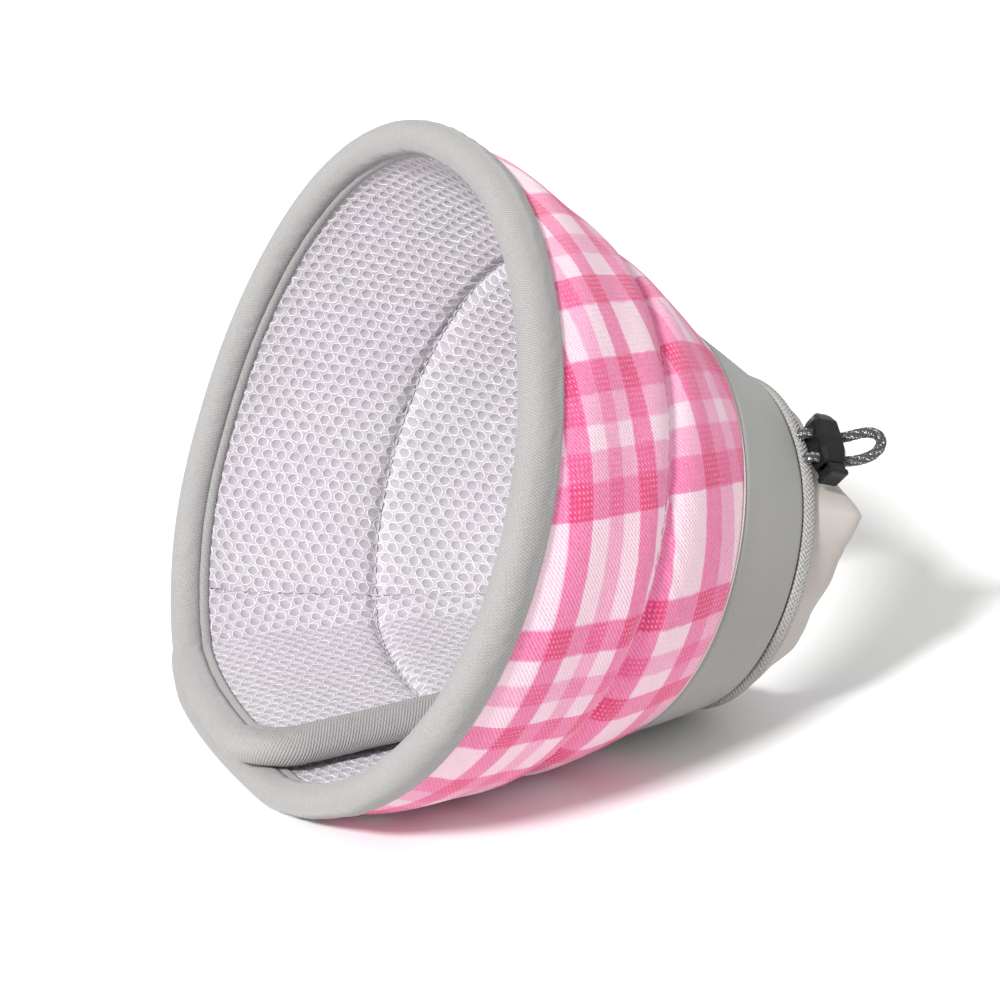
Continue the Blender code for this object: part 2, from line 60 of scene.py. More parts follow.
lens = bpy.data.cameras.new("portrait lens")
lens.lens = LENS
lens.sensor_width = 36.0
lens.clip_start = 0.05
camera = bpy.data.objects.new("portrait camera", lens)
camera.location = EYE
camera.rotation_euler = VIEW.to_track_quat("-Z", "Y").to_euler()
bpy.context.scene.collection.objects.link(camera)
bpy.context.scene.camera = camera
print("camera elevation:", round(math.degrees(math.asin(-VIEW.z / VIEW.length)), 1), "degrees")

# %% [markdown]
# ## The shape of the cone
#
# A point of the cone is found from three numbers: the angle round it (0 at +Y, 90 on top), the distance
# along the slant from the rim, and the depth outwards from the outer face. The sizes and the short
# tables are those of the solids.

# %% Driving sizes
RIM_RADIUS = 0.1075
NECK_RADIUS = 0.054
SLANT = 0.142
PLAID_LENGTH = 0.108
START_ANGLE = -104.0
OVERLAP_ANGLE = 64.0
MERGE_ANGLE = 70.0
SLIP = 0.006
CORNER = 0.022
RIM_SINK = 0.0055
NECK_LIFT = 0.0007
PAD = 0.0042
LINING = 0.0030
GAP = 0.0003
BINDING_WIDTH = 0.010
CLOSURE_THICKNESS = 0.0020
TAPE_WIDTH = 0.0045
TAPE_THICKNESS = 0.0010
SLEEVE_LENGTH = 0.022
SLEEVE_PLY = 0.0008
CHANNEL_ROOM = 0.0009
GATHER_DEPTH = 0.0006
GATHERS = 13
LAID_SHARE = 0.9
CORD_DIAMETER = 0.0034
STRAND_PITCH = 0.0087
LOOP_LENGTH = 0.0130
LOCK_ANGLE = 129.0
LOCK_REACH = 0.0092
LOCK_WIDTH = 0.0096
LOCK_HEIGHT = 0.0186
LOCK_OFFSET = 0.0019
LOCK_DEPTH = 0.0095
LOCK_ROUNDING = 0.0026
SEAM = 0.460 * SLANT

PROFILE = np.array([
    # at     swell   sag     outer  inner
    (0.000,  0.000,  0.000,  0.00,  0.00),
    (0.073,  0.009,  0.001,  0.00,  0.00),
    (0.130,  0.020,  0.002,  0.22,  0.10),
    (0.300,  0.028,  0.004,  0.25,  0.12),
    (0.425,  0.029,  0.006,  0.10,  0.05),
    (0.460,  0.028,  0.007,  -0.28, -0.20),
    (0.495,  0.027,  0.007,  0.10,  0.05),
    (0.620,  0.019,  0.009,  0.20,  0.12),
    (0.754,  0.006,  0.008,  0.00,  0.05),
    (0.880,  0.002,  0.005,  0.05,  0.05),
    (1.000,  0.000,  0.000,  0.00,  0.00),
])
AT, SWELL, SAG, PUFF_OUT, PUFF_IN = PROFILE.T
OUT_OF_ROUND = ((1, 0.006, 0.000), (2, 0.017, -0.003), (3, -0.017, -0.016))
BULGES = ((-8.0, 16.0, -0.013), (45.0, 24.0, 0.020), (88.0, 16.0, -0.013))
HEM = np.array([
    # angle  length  radius
    (60.0,   1.00,   0.86),
    (110.0,  1.00,   0.82),
    (130.0,  1.00,   0.81),
    (149.0,  1.15,   0.97),
    (166.0,  0.98,   0.87),
    (190.0,  0.82,   0.86),
    (205.0,  0.74,   0.89),
    (216.0,  0.60,   0.92),
    (240.0,  0.62,   0.88),
    (290.0,  0.85,   0.85),
    (360.0,  1.00,   0.86),
])

WALL = PAD + GAP + LINING
LAYER_STEP = WALL + max(PUFF_OUT) * PAD + max(PUFF_IN) * LINING + CLOSURE_THICKNESS + 4 * GAP
FLARE = math.asin((RIM_RADIUS - NECK_RADIUS) / SLANT)
LEAN = FLARE - math.asin(RIM_SINK / SLANT)
RIM_LEAN = LEAN + math.radians(0.9)
NECK_LEAN = LEAN - math.radians(2.3)
RIM_HEIGHT = RIM_RADIUS * math.cos(RIM_LEAN) - RIM_SINK
NECK_HEIGHT = NECK_RADIUS * math.cos(NECK_LEAN) + NECK_LIFT
NECK_X = math.sqrt((SLANT * math.cos(FLARE)) ** 2 - (RIM_HEIGHT - NECK_HEIGHT) ** 2)
END_ANGLE = START_ANGLE + 360.0 + OVERLAP_ANGLE
FINE = 1.0
print("wall", round(WALL * 1000, 1), "mm; the fan spans", END_ANGLE - START_ANGLE, "degrees of the cone")

# %% [markdown]
# The solids join the rows of the table with straight lines. The cloth runs through them as one smooth
# curve instead: a cubic between each two rows, whose slope at a row is that of its two neighbours.


# %% Points on the cone
def smooth_table(share, values, knots=AT):
    """Cubic curve through a table: a Hermite piece between each two knots, slopes from the neighbours."""
    slope = np.gradient(values, knots)
    low = np.clip(np.searchsorted(knots, share, side="right") - 1, 0, len(knots) - 2)
    width = knots[low + 1] - knots[low]
    t = np.clip((share - knots[low]) / width, 0, 1)
    return ((2 * t ** 3 - 3 * t ** 2 + 1) * values[low] + (t ** 3 - 2 * t ** 2 + t) * width * slope[low]
            + (3 * t ** 2 - 2 * t ** 3) * values[low + 1] + (t ** 3 - t ** 2) * width * slope[low + 1])


def step_up(value, low, high):
    """0 below low, 1 above high, and a smooth rise between."""
    t = np.clip((value - low) / (high - low), 0, 1)
    return t * t * (3 - 2 * t)


def axes_at(lean):
    """The cone's axis towards the neck, and the direction of 90 degrees, for a ring that leans."""
    lean = np.asarray(lean, float)
    axis = np.stack([np.cos(lean), 0 * lean, -np.sin(lean)], -1)
    top = np.stack([np.sin(lean), 0 * lean, np.cos(lean)], -1)
    return axis, top


def spiral(angle):
    """How far the overlapping ends lie from the common wall: the first end inside, the last outside."""
    inner = 1 - step_up(angle, START_ANGLE, START_ANGLE + MERGE_ANGLE)
    outer = step_up(angle, START_ANGLE + 360, START_ANGLE + 360 + MERGE_ANGLE)
    return LAYER_STEP * (outer - inner), -SLIP * inner


def ring_radius(angle, share):
    """Radius of the outer face, from rim to neck, with the rim's slow waves."""
    turn = np.radians(angle)
    wave = sum(c * np.cos(n * turn) + s * np.sin(n * turn) for n, c, s in OUT_OF_ROUND)
    for middle, width, share_of_radius in BULGES:
        away = (angle - middle + 180) % 360 - 180
        wave = wave + share_of_radius * np.exp(-(away / width) ** 2)
    straight = RIM_RADIUS + (NECK_RADIUS - RIM_RADIUS) * share
    return (straight + smooth_table(share, SWELL) * SLANT) * (1 + (1 - share) * wave)


def place(angle, along, depth):
    """Point on the cone: angle, distance along the slant from the rim, and depth outwards."""
    share = along / SLANT
    axis, top = axes_at(RIM_LEAN + (NECK_LEAN - RIM_LEAN) * share)
    step, slip = spiral(angle)
    out = depth + step
    reach = ring_radius(angle, share) + out * math.cos(FLARE)
    turn = np.radians(angle)
    point = np.stack([
        NECK_X * share,
        reach * np.cos(turn),
        RIM_HEIGHT + (NECK_HEIGHT - RIM_HEIGHT) * share - smooth_table(share, SAG) * SLANT,
    ], -1)
    point = point + top * (reach * np.sin(turn))[..., None]
    point = point + axis * (out * math.sin(FLARE) + slip)[..., None]
    below = np.where(angle < START_ANGLE + MERGE_ANGLE, LAYER_STEP, 0.0)
    point[..., 2] = np.maximum(point[..., 2], np.maximum(below - depth, 0))
    return point


def collar(angle, beyond, radius):
    """Point beyond the neck seam: angle, distance along the axis, and radius. Where it lies on the
    floor, its plies keep a share of their distance from the outermost one."""
    axis, top = axes_at(NECK_LEAN + 0 * angle)
    step, slip = spiral(angle)
    reach = radius + step * math.cos(FLARE)
    turn = np.radians(angle)
    point = np.stack([NECK_X + 0 * reach, reach * np.cos(turn), NECK_HEIGHT + 0 * reach], -1)
    point = point + top * (reach * np.sin(turn))[..., None]
    point = point + axis * (beyond + step * math.sin(FLARE) + slip)[..., None]
    lowest = np.maximum(NECK_RADIUS - radius, 0) * LAID_SHARE
    point[..., 2] = np.maximum(point[..., 2], lowest)
    return point


def station_angle(station, along):
    """Angle of a station: 0 to 1 is the first corner, 1 to 2 the rim between, 2 to 3 the last corner."""
    radius = RIM_RADIUS + (NECK_RADIUS - RIM_RADIUS) * along / SLANT
    corner = np.degrees(CORNER / radius)
    first, last = START_ANGLE + corner, END_ANGLE - corner
    return np.where(
        station < 1, START_ANGLE + corner * station,
        np.where(station > 2, END_ANGLE - corner * (3 - station), first + (last - first) * (station - 1)))


def inset_at(station, along):
    """Distance from the nearest bound edge, at most the corner's radius."""
    reach = np.clip(np.minimum(station, 3 - station), 0, 1) * CORNER
    rise = np.clip(along, 0, CORNER)
    return CORNER - np.hypot(CORNER - reach, CORNER - rise)


# %% [markdown]
# The cone opens out flat to a fan, and a woven pattern is straight in that flat cloth. A point's place in
# the fan is its distance from the fan's own centre, and an angle that shrinks by the cone's steepness.

# %% The flat fan
STEEPNESS = (RIM_RADIUS - NECK_RADIUS) / SLANT
FAN_RADIUS = RIM_RADIUS / STEEPNESS
FAN_MIDDLE = 200.0


def flat_place(angle, along):
    """Place in the flat fan, in metres: the sine and cosine of the shrunken angle, times the radius."""
    turn = np.radians((angle - FAN_MIDDLE) * STEEPNESS)
    return np.stack([(FAN_RADIUS - along) * np.sin(turn), (FAN_RADIUS - along) * np.cos(turn)], -1)


def soft_noise(x, y, size, seed, waves=7):
    """Slow unevenness from -1 to 1: a mean of sine waves that run in random directions."""
    draw = np.random.default_rng(seed)
    total = 0 * x
    for heading, phase, stretch in draw.uniform(0, 1, (waves, 3)):
        turn = 2 * math.pi * heading
        length = size * (0.7 + 0.9 * stretch)
        total = total + np.sin(2 * math.pi * ((x * math.cos(turn) + y * math.sin(turn)) / length + phase))
    return total / waves * 1.6


print("the fan's outer radius is", round(FAN_RADIUS * 1000, 1), "mm")

# %% [markdown]
# ## Meshes from arrays
#
# Every new piece goes through one helper, which writes whole arrays into a mesh, so that no Python loop
# runs over its points. Grids are walked so that their faces point outwards.


# %% Mesh helpers
def grid_quads(rows, columns, closed_rows=False, closed_columns=False):
    """Quads of a grid of points, row after row; a closed direction joins its last line to its first."""
    number = np.arange(rows * columns).reshape(rows, columns)
    if closed_rows:
        number = np.vstack([number, number[:1]])
    if closed_columns:
        number = np.hstack([number, number[:, :1]])
    return np.stack([number[:-1, :-1], number[:-1, 1:], number[1:, 1:], number[1:, :-1]], -1).reshape(-1, 4)


def surface(name, points, faces, finish, uv=None, values=None, body="cone", smooth=True):
    """An object from points and one or more arrays of faces, with a UV map and point values."""
    faces = [np.asarray(block) for block in (faces if isinstance(faces, list) else [faces])]
    corners = np.concatenate([block.ravel() for block in faces]).astype(np.int32)
    sizes = np.concatenate([np.full(len(block), block.shape[1]) for block in faces])
    mesh = bpy.data.meshes.new(name)
    mesh.vertices.add(len(points))
    mesh.vertices.foreach_set("co", np.asarray(points, np.float32).ravel())
    mesh.loops.add(len(corners))
    mesh.loops.foreach_set("vertex_index", corners)
    mesh.polygons.add(len(sizes))
    mesh.polygons.foreach_set("loop_start", (np.cumsum(sizes) - sizes).astype(np.int32))
    if uv is not None:
        layer = mesh.uv_layers.new(name="cloth")
        layer.data.foreach_set("uv", np.asarray(uv, np.float32)[corners].ravel())
    for key, numbers in (values or {}).items():
        attribute = mesh.attributes.new(key, "FLOAT", "POINT")
        attribute.data.foreach_set("value", np.asarray(numbers, np.float32))
    mesh.update(calc_edges=True)
    mesh.validate()
    mesh.polygons.foreach_set("use_smooth", np.full(len(mesh.polygons), smooth))
    mesh.materials.append(finish)
    made = bpy.data.objects.new(name, mesh)
    bpy.context.scene.collection.objects.link(made)
    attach(made, body)
    print(name, len(mesh.vertices), "points,", len(mesh.polygons), "faces")
    return made


# %% [markdown]
# ## Materials as Python expressions
#
# A small class wraps a socket, so that arithmetic on it adds the Math nodes. Colours are mixed with Mix
# nodes. All other nodes come from one method.


# %% Material helpers
class Flow:
    """A value on its way through a material: arithmetic on it adds Math nodes."""

    def __init__(self, finish, socket):
        self.finish = finish
        self.socket = socket

    def math(self, operation, *others):
        return self.finish.node("ShaderNodeMath", {"operation": operation}, dict(enumerate(others)))

    def __add__(self, other):
        return self.math("ADD", self, other)

    def __radd__(self, other):
        return self.math("ADD", other, self)

    def __sub__(self, other):
        return self.math("SUBTRACT", self, other)

    def __rsub__(self, other):
        return self.math("SUBTRACT", other, self)

    def __mul__(self, other):
        return self.math("MULTIPLY", self, other)

    def __rmul__(self, other):
        return self.math("MULTIPLY", other, self)

    def __truediv__(self, other):
        return self.math("DIVIDE", self, other)

    def __mod__(self, other):
        return self.math("FLOORED_MODULO", self, other)

    def __rpow__(self, other):
        return self.math("POWER", other, self)

    def sine(self):
        return self.math("SINE", self)

    def size(self):
        return self.math("ABSOLUTE", self)

    def above(self, low, high):
        """0 below low, 1 above high, and a smooth rise between."""
        return self.finish.node("ShaderNodeMapRange", {"interpolation_type": "SMOOTHSTEP"},
                                {0: self, 1: low, 2: high})


class Finish:
    """One material: a Principled shader, and one method that adds any other node."""

    def __init__(self, name, colour, roughness, **fixed):
        self.material = bpy.data.materials.new(name)
        self.material.use_nodes = True
        self.tree = self.material.node_tree
        self.shader = self.tree.nodes["Principled BSDF"]
        self.shader.inputs["Base Color"].default_value = (*colour, 1)
        self.shader.inputs["Roughness"].default_value = roughness
        for key, value in fixed.items():
            self.shader.inputs[key.replace("_", " ")].default_value = value
        self.material.diffuse_color = (*colour, 1)

    def feed(self, socket, value):
        if isinstance(value, Flow):
            self.tree.links.new(value.socket, socket)
        else:
            socket.default_value = value

    def node(self, kind, settings=None, values=None, out=0):
        """A node of a type: its settings first, then its sockets' values or links."""
        made = self.tree.nodes.new(kind)
        for key, value in (settings or {}).items():
            if key == "stops":
                fill_ramp(made.color_ramp, value)
            else:
                setattr(made, key, value)
        for key, value in (values or {}).items():
            self.feed(made.inputs[key], value)
        return Flow(self, made.outputs[out])

    def uv(self):
        """The two parts of the piece's own UV map."""
        both = self.node("ShaderNodeUVMap", {"uv_map": "cloth"})
        split = self.tree.nodes.new("ShaderNodeSeparateXYZ")
        self.tree.links.new(both.socket, split.inputs[0])
        return Flow(self, split.outputs[0]), Flow(self, split.outputs[1])

    def place(self):
        return self.node("ShaderNodeTexCoord", out=3)

    def value(self, key):
        return self.node("ShaderNodeAttribute", {"attribute_name": key}, out=2)

    def noise(self, scale, detail=3.0, vector=None):
        return self.node("ShaderNodeTexNoise", {},
                         {"Vector": vector or self.place(), "Scale": scale, "Detail": detail})

    def mix(self, share, first, second):
        """A colour between two."""
        ends = [end if isinstance(end, Flow) else (*end, 1) for end in (first, second)]
        return self.node("ShaderNodeMix", {"data_type": "RGBA"}, {0: share, 6: ends[0], 7: ends[1]}, out=2)

    def colour(self, value):
        self.feed(self.shader.inputs["Base Color"], value)

    def roughness(self, value):
        self.feed(self.shader.inputs["Roughness"], value)

    def bump(self, height, distance, strength=1.0):
        """A relief of this depth, in metres."""
        normal = self.node("ShaderNodeBump", {}, {"Height": height, "Distance": distance,
                                                  "Strength": strength})
        self.feed(self.shader.inputs["Normal"], normal)


def fill_ramp(ramp, stops):
    """Sets a ramp's stops: places from 0 to 1 with grey values."""
    ramp.interpolation = "LINEAR"
    while len(ramp.elements) > 1:
        ramp.elements.remove(ramp.elements[-1])
    ramp.elements[0].position = stops[0][0]
    ramp.elements[0].color = (*[stops[0][1]] * 3, 1)
    for at, grey in stops[1:]:
        ramp.elements.new(at).color = (*[grey] * 3, 1)


# %% [markdown]
# ## Plaid
#
# The cover is woven from white and pink yarns in one order of stripes, used both ways. Where a pink yarn
# crosses white the cloth looks half as strong as where pink crosses pink, so the two strengths are added
# and each colour channel is a power of the sum. Where two stripes cross, small knots show the white yarn.
# The order of stripes is a ramp over one repeat.

# %% Plaid finish
REPEAT = 0.1286
STRIPES = (
    # from    to      strength
    (0.0000, 0.0090, 1.00),
    (0.0250, 0.0345, 1.00),
    (0.0345, 0.0430, 0.45),
    (0.0500, 0.0582, 0.45),
    (0.0582, 0.0680, 1.00),
    (0.0970, 0.1060, 1.00),
    (0.1140, 0.1210, 0.45),
)
STRIPE_SOFT = 0.0004
TWILL_STEP = 0.0014
KNOT_STEP = 0.0016
WHITE_YARN = (0.82, 0.610, 0.680)
PINK_SHARE = (0.925, 0.310, 0.545)


def stripe_stops():
    """Stops of the ramp: strengths change over a thread or so, also from one stripe to the next."""
    stops, before, end = [(0.0, STRIPES[0][2])], STRIPES[0][2], STRIPES[0][1]
    for low, high, strength in STRIPES[1:] + ((REPEAT, REPEAT, STRIPES[0][2]),):
        edges = [(end, before, strength)] if low == end else [(end, before, 0.0), (low, 0.0, strength)]
        for at, left, right in edges:
            stops += [((at - STRIPE_SOFT / 2) / REPEAT, left), ((at + STRIPE_SOFT / 2) / REPEAT, right)]
        before, end = strength, high
    return stops[:-1]


def plaid_finish():
    cloth = Finish("pink plaid twill", WHITE_YARN, 0.88, Sheen_Weight=0.25, Sheen_Roughness=0.5)
    across, down = cloth.uv()
    neckward = cloth.value("neckward")
    wander = 0.0009 * (cloth.noise(240.0, 2.0) - 0.5)
    warp = (across - 0.0046 + 0.0025 * neckward + wander) % REPEAT
    weft = (0.2300 - down - 0.0100 * neckward - wander) % REPEAT
    strengths = []
    for position in (warp, weft):
        strengths.append(cloth.node("ShaderNodeValToRGB", {"stops": stripe_stops()},
                                    {"Fac": position / REPEAT}))
    twill = ((across + down) * (2 * math.pi / TWILL_STEP)).sine()
    knot = 2 * math.pi / KNOT_STEP
    dots = (0.5 + 0.5 * (across * knot).sine()) * (0.5 + 0.5 * (down * knot).sine())
    worn = cloth.noise(900.0, 2.0)
    both = strengths[0] + strengths[1]
    amount = both * (1.0 + 0.42 * twill * worn + 0.80 * (worn - 0.5)) + 0.10 * worn
    amount = amount + strengths[0] * strengths[1] * (0.50 - 1.7 * dots)
    yarns = enumerate(zip(WHITE_YARN, PINK_SHARE))
    shades = cloth.node("ShaderNodeCombineColor", {}, {
        number: white * share ** amount for number, (white, share) in yarns})
    cloth.colour(shades)
    cloth.bump(0.5 * twill + 0.5 * dots + 0.8 * cloth.noise(520.0, 3.0), 0.00018, 0.9)
    return cloth.material


PLAID = plaid_finish()
print("one repeat of the plaid:", REPEAT * 1000, "mm,", len(STRIPES), "stripes")

# %% [markdown]
# ## Plain cloths
#
# The grey cover, the binding, the neck tape and the thin sleeve are plain weaves that differ in colour,
# in thread and in sheen. One function makes them: a twill runs in diagonal ribs, a herringbone turns its
# ribs over from one band to the next, and each has a little unevenness in colour.


# %% Plain cloth finishes
def plain_cloth(name, colour, rib, depth, herringbone=None, speckle=0.10, sheen=0.2, slant=1.0):
    """Woven cloth of one colour: sine ribs along a diagonal of the cloth's own plane."""
    cloth = Finish(name, colour, 0.82, Sheen_Weight=sheen, Sheen_Roughness=0.45)
    across, down = cloth.uv()
    if herringbone:
        down = (down % herringbone - herringbone / 2).size()
    ribs = ((across + slant * down) * (2 * math.pi / rib)).sine()
    cross = ((across - slant * down) * (2 * math.pi / (rib * 1.3))).sine()
    fibres = cloth.noise(1100.0, 3.0)
    slow = cloth.noise(60.0, 2.0)
    shade = speckle * (0.45 * ribs + 1.6 * (fibres - 0.5)) + 0.12 * (slow - 0.5) + 0.5
    cloth.colour(cloth.mix(shade, tuple(c * 0.72 for c in colour), tuple(min(c * 1.28, 1) for c in colour)))
    cloth.bump(0.6 * ribs + 0.25 * cross + 0.7 * fibres, depth, 0.9)
    return cloth.material


GREY_COVER = plain_cloth("grey brushed cover", (0.278, 0.275, 0.267), 0.0008, 0.00005, speckle=0.06)
BINDING = plain_cloth("grey binding twill", (0.298, 0.292, 0.288), 0.00085, 0.00013, speckle=0.34,
                      slant=0.5)
TAPE = plain_cloth("herringbone neck tape", (0.36, 0.355, 0.34), 0.0015, 0.00042, herringbone=0.0044,
                   speckle=0.85)
SLEEVE = plain_cloth("thin beige sleeve cloth", (0.42, 0.385, 0.36), 0.0007, 0.00004, speckle=0.05)
CREAM = plain_cloth("cream seam edge", (0.66, 0.55, 0.53), 0.0008, 0.00008, speckle=0.2)
THREAD = plain_cloth("sewing thread", (0.17, 0.165, 0.165), 0.0006, 0.00005, speckle=0.2)
PINK_THREAD = plain_cloth("pink sewing thread", (0.78, 0.42, 0.54), 0.0006, 0.00005, speckle=0.2)
PALE_THREAD = plain_cloth("pale sewing thread", (0.50, 0.47, 0.52), 0.0006, 0.00005, speckle=0.2)

# %% [markdown]
# ## Quilted panels
#
# The cover is padded with foam and drawn in by a quilt seam that runs round the middle. Sewing takes up
# cloth, so the cover puckers at the seam and beside the binding: short waves that die out within a few
# millimetres. A panel is a closed pad, whose section runs over its outer face and back under it, carried
# round the cone. At both ends the section closes to a thin edge under the binding.


# %% Panels
SWELL_REACH = 0.012
PAD_EDGE = BINDING_WIDTH - 0.0014
PUCKER_STEP = 0.0085
COVER_COLUMNS = 610
LINING_COLUMNS = 380


def fan_columns(inset, count):
    """Stations of the columns of a panel, and the slant distance where each starts, round both corners."""
    turn = np.radians(np.linspace(0, 90, max(int(16 * FINE), 6)))
    station = 1 - (1 - inset / CORNER) * np.cos(turn)
    start = CORNER - (CORNER - inset) * np.sin(turn)
    between = np.linspace(1, 2, int(count * FINE) + 1)[1:-1]
    return (np.concatenate([station, between, 3 - station[::-1]]),
            np.concatenate([start, 0 * between + inset, start[::-1]]))


def climb(start, inset, rows):
    """Slant distances of the rows of each column: rows inside the corner's height close up."""
    clear = CORNER * 1.15
    rows = rows[:, None]
    return np.where(rows < clear, start + (rows - inset) * (clear - start) / (clear - inset), rows)


def groove(away, depth, width):
    """A sewn-in line: the face sinks by a depth, and half of it is gone a little past the width."""
    return -depth * np.exp(-(away / width) ** 2)


def off_binding(station, along):
    """0 on the binding and 1 well inside it, where a padded face is free to swell."""
    return np.clip((inset_at(station, along) - BINDING_WIDTH) / SWELL_REACH, 0, 1)


def edge_drop(station, along, value, under):
    """A face's depth, which drops to another where it goes under the binding."""
    free = step_up(inset_at(station, along), BINDING_WIDTH - 0.0011, BINDING_WIDTH + 0.0016)
    return under + (value - under) * free


def puckers(angle, along, seed):
    """Short waves that die out beside the quilt seam and the binding, in metres."""
    radius = FAN_RADIUS * STEEPNESS - along * STEEPNESS
    arc = np.radians(angle) * radius
    beat = arc / PUCKER_STEP + 0.55 * soft_noise(arc, along, 0.06, seed)
    beside_seam = np.exp(-np.abs(along - SEAM) / 0.0052) * step_up(np.abs(along - SEAM), 0.0, 0.0016)
    beside_rim = np.exp(-np.abs(along - BINDING_WIDTH) / 0.0050)
    drift = 0.6 + 0.4 * soft_noise(arc, along, 0.05, seed + 1)
    return np.sin(2 * math.pi * beat) * drift * (0.00042 * beside_seam + 0.00030 * beside_rim)


def cover_depth(station, along):
    """Depth of the padded cover: the table's puff, the seam's crease, puckers and slow unevenness."""
    angle = station_angle(station, along)
    inner = off_binding(station, along)
    puff = smooth_table(along / SLANT, PUFF_OUT) * PAD
    crease = groove(along - SEAM, 0.0007, 0.0011)
    join = groove(along - PLAID_LENGTH, 0.0006, 0.0011)
    flat = flat_place(angle, along)
    slow = 0.00035 * soft_noise(flat[..., 0], flat[..., 1], 0.055, 11)
    return (puff + slow + puckers(angle, along, 3)) * inner + crease + join


def panel(name, finish, first_row, last_row, row_step, node, back_rows=12):
    """A closed pad between two slant distances."""
    inset = PAD_EDGE
    station, start = fan_columns(inset, COVER_COLUMNS)
    from_rim = first_row <= BINDING_WIDTH
    low = inset if from_rim else first_row
    rows = np.linspace(low, last_row, max(int((last_row - low) / row_step * FINE), 8))
    along = climb(start, inset, rows) if from_rim else rows[:, None] + 0 * start
    columns = station + 0 * along
    outer = edge_drop(columns, along, cover_depth(columns, along), -0.0016)
    outer = outer - 0.0009 * step_up(along, last_row - 0.0012, last_row)
    if not from_rim:
        outer = outer - 0.0009 * (1 - step_up(along, low, low + 0.0012))
    picked = np.linspace(len(rows) - 1, 0, back_rows).astype(int)
    back = np.full((back_rows, len(station)), -PAD)
    back[:, [0, -1]] = outer[picked][:, [0, -1]] - 0.0004
    along_all = np.vstack([along, along[picked]])
    depth_all = np.vstack([outer, back])
    columns = station + 0 * along_all
    angle = station_angle(columns, along_all)
    points = place(angle, along_all, depth_all)
    made = surface(name, points.reshape(-1, 3), grid_quads(*along_all.shape, closed_rows=True), finish,
                   uv=flat_place(angle, along_all).reshape(-1, 2),
                   values={"neckward": step_up(along_all, SEAM - 0.0002, SEAM + 0.0002).ravel()})
    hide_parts(node)
    return made


panel("plaid_cover", PLAID, 0.0, PLAID_LENGTH - GAP, 0.00105, "plaid_panel")
panel("grey_band", GREY_COVER, PLAID_LENGTH + GAP, SLANT, 0.0011, "grey_panel", back_rows=8)

# %% [markdown]
# ## Strips and seams
#
# A narrow strip, such as a piped edge or a tape, is a small profile carried round the cone. A stitch is a
# short flattened bead of thread. Hundreds of them lie at equal steps along a seam, so they are made as
# copies of one small shape, all in one array, each turned along the seam and towards its surface.


# %% Strips and stitches
def cone_line(angle, along, depth):
    """A line of points on the cone, and the outward direction at each."""
    angle, along, depth = np.broadcast_arrays(angle, along, depth)
    angle, along, depth = (np.array(a, float) for a in (angle, along, depth))
    points = place(angle, along, depth)
    raised = place(angle, along, depth + 0.0005) + (0, 0, 1e-7)
    out = raised - points
    return points, out / np.linalg.norm(out, axis=1, keepdims=True)


def even_steps(points, out, step):
    """The line and its directions again, at equal steps of length."""
    length = np.concatenate([[0], np.cumsum(np.linalg.norm(np.diff(points, axis=0), axis=1))])
    at = np.arange(step / 2, length[-1], step)
    return (np.stack([np.interp(at, length, points[:, i]) for i in range(3)], -1),
            np.stack([np.interp(at, length, out[:, i]) for i in range(3)], -1))


def bead(length, width, height, rings=5, sides=6):
    """A stitch: an ellipsoid of thread, as rings of points from end to end, and its faces."""
    turn = np.linspace(0, math.pi, rings + 2)[1:-1]
    round_ = np.linspace(0, 2 * math.pi, sides, endpoint=False)
    body = np.stack([
        np.repeat(-np.cos(turn), sides) * length / 2,
        np.outer(np.sin(turn) ** 0.6, np.cos(round_)).ravel() * width / 2,
        np.outer(np.sin(turn) ** 0.6, np.sin(round_)).ravel() * height / 2], -1)
    points = np.vstack([body, [(-length / 2, 0, 0), (length / 2, 0, 0)]])
    quads = grid_quads(rings, sides, closed_columns=True)[:, ::-1]
    ring = np.arange(sides)
    after = (ring + 1) % sides
    last = (rings - 1) * sides
    tips = np.vstack([np.stack([ring, after, 0 * ring + rings * sides], -1),
                      np.stack([last + after, last + ring, 0 * ring + rings * sides + 1], -1)])
    return points, quads, tips


def stitches(name, lines, step, length, width, finish, slot, lift=0.0):
    """Beads of thread along lines, joined into one piece."""
    shape, quads, tips = bead(length, width, width * 0.7)
    points, all_quads, all_tips = [], [], []
    total = 0
    for line, out in lines:
        centre, up = even_steps(line, out, step)
        ahead = np.gradient(centre, axis=0)
        ahead = ahead / np.linalg.norm(ahead, axis=1, keepdims=True)
        up = up - (up * ahead).sum(1, keepdims=True) * ahead
        up = up / np.linalg.norm(up, axis=1, keepdims=True)
        side = np.cross(up, ahead)
        placed = (centre + up * lift)[:, None] + (
            shape[None, :, :1] * ahead[:, None] + shape[None, :, 1:2] * side[:, None]
            + shape[None, :, 2:] * up[:, None])
        offset = total + np.arange(len(centre))[:, None, None] * len(shape)
        points.append(placed.reshape(-1, 3))
        all_quads.append((quads[None] + offset).reshape(-1, 4))
        all_tips.append((tips[None] + offset).reshape(-1, 3))
        total += len(centre) * len(shape)
    points = np.vstack(points)
    return surface(name, points, [np.vstack(all_quads), np.vstack(all_tips)], finish,
                   uv=points[:, :2] + points[:, 2:])


def strip(name, profile, angle, finish, collar_side=False):
    """A closed profile of places along and depths, carried round the cone or round its collar."""
    profile = np.array(profile)
    turn, along = np.meshgrid(angle, profile[:, 0])
    depth = profile[:, 1:] + 0 * turn
    points = collar(turn, along, NECK_RADIUS + depth) if collar_side else place(turn, along, depth)
    uv = np.stack([np.radians(turn) * NECK_RADIUS, along + 0 * turn], -1)
    return surface(name, points.reshape(-1, 3), grid_quads(*turn.shape, closed_rows=True), finish,
                   uv=uv.reshape(-1, 2))


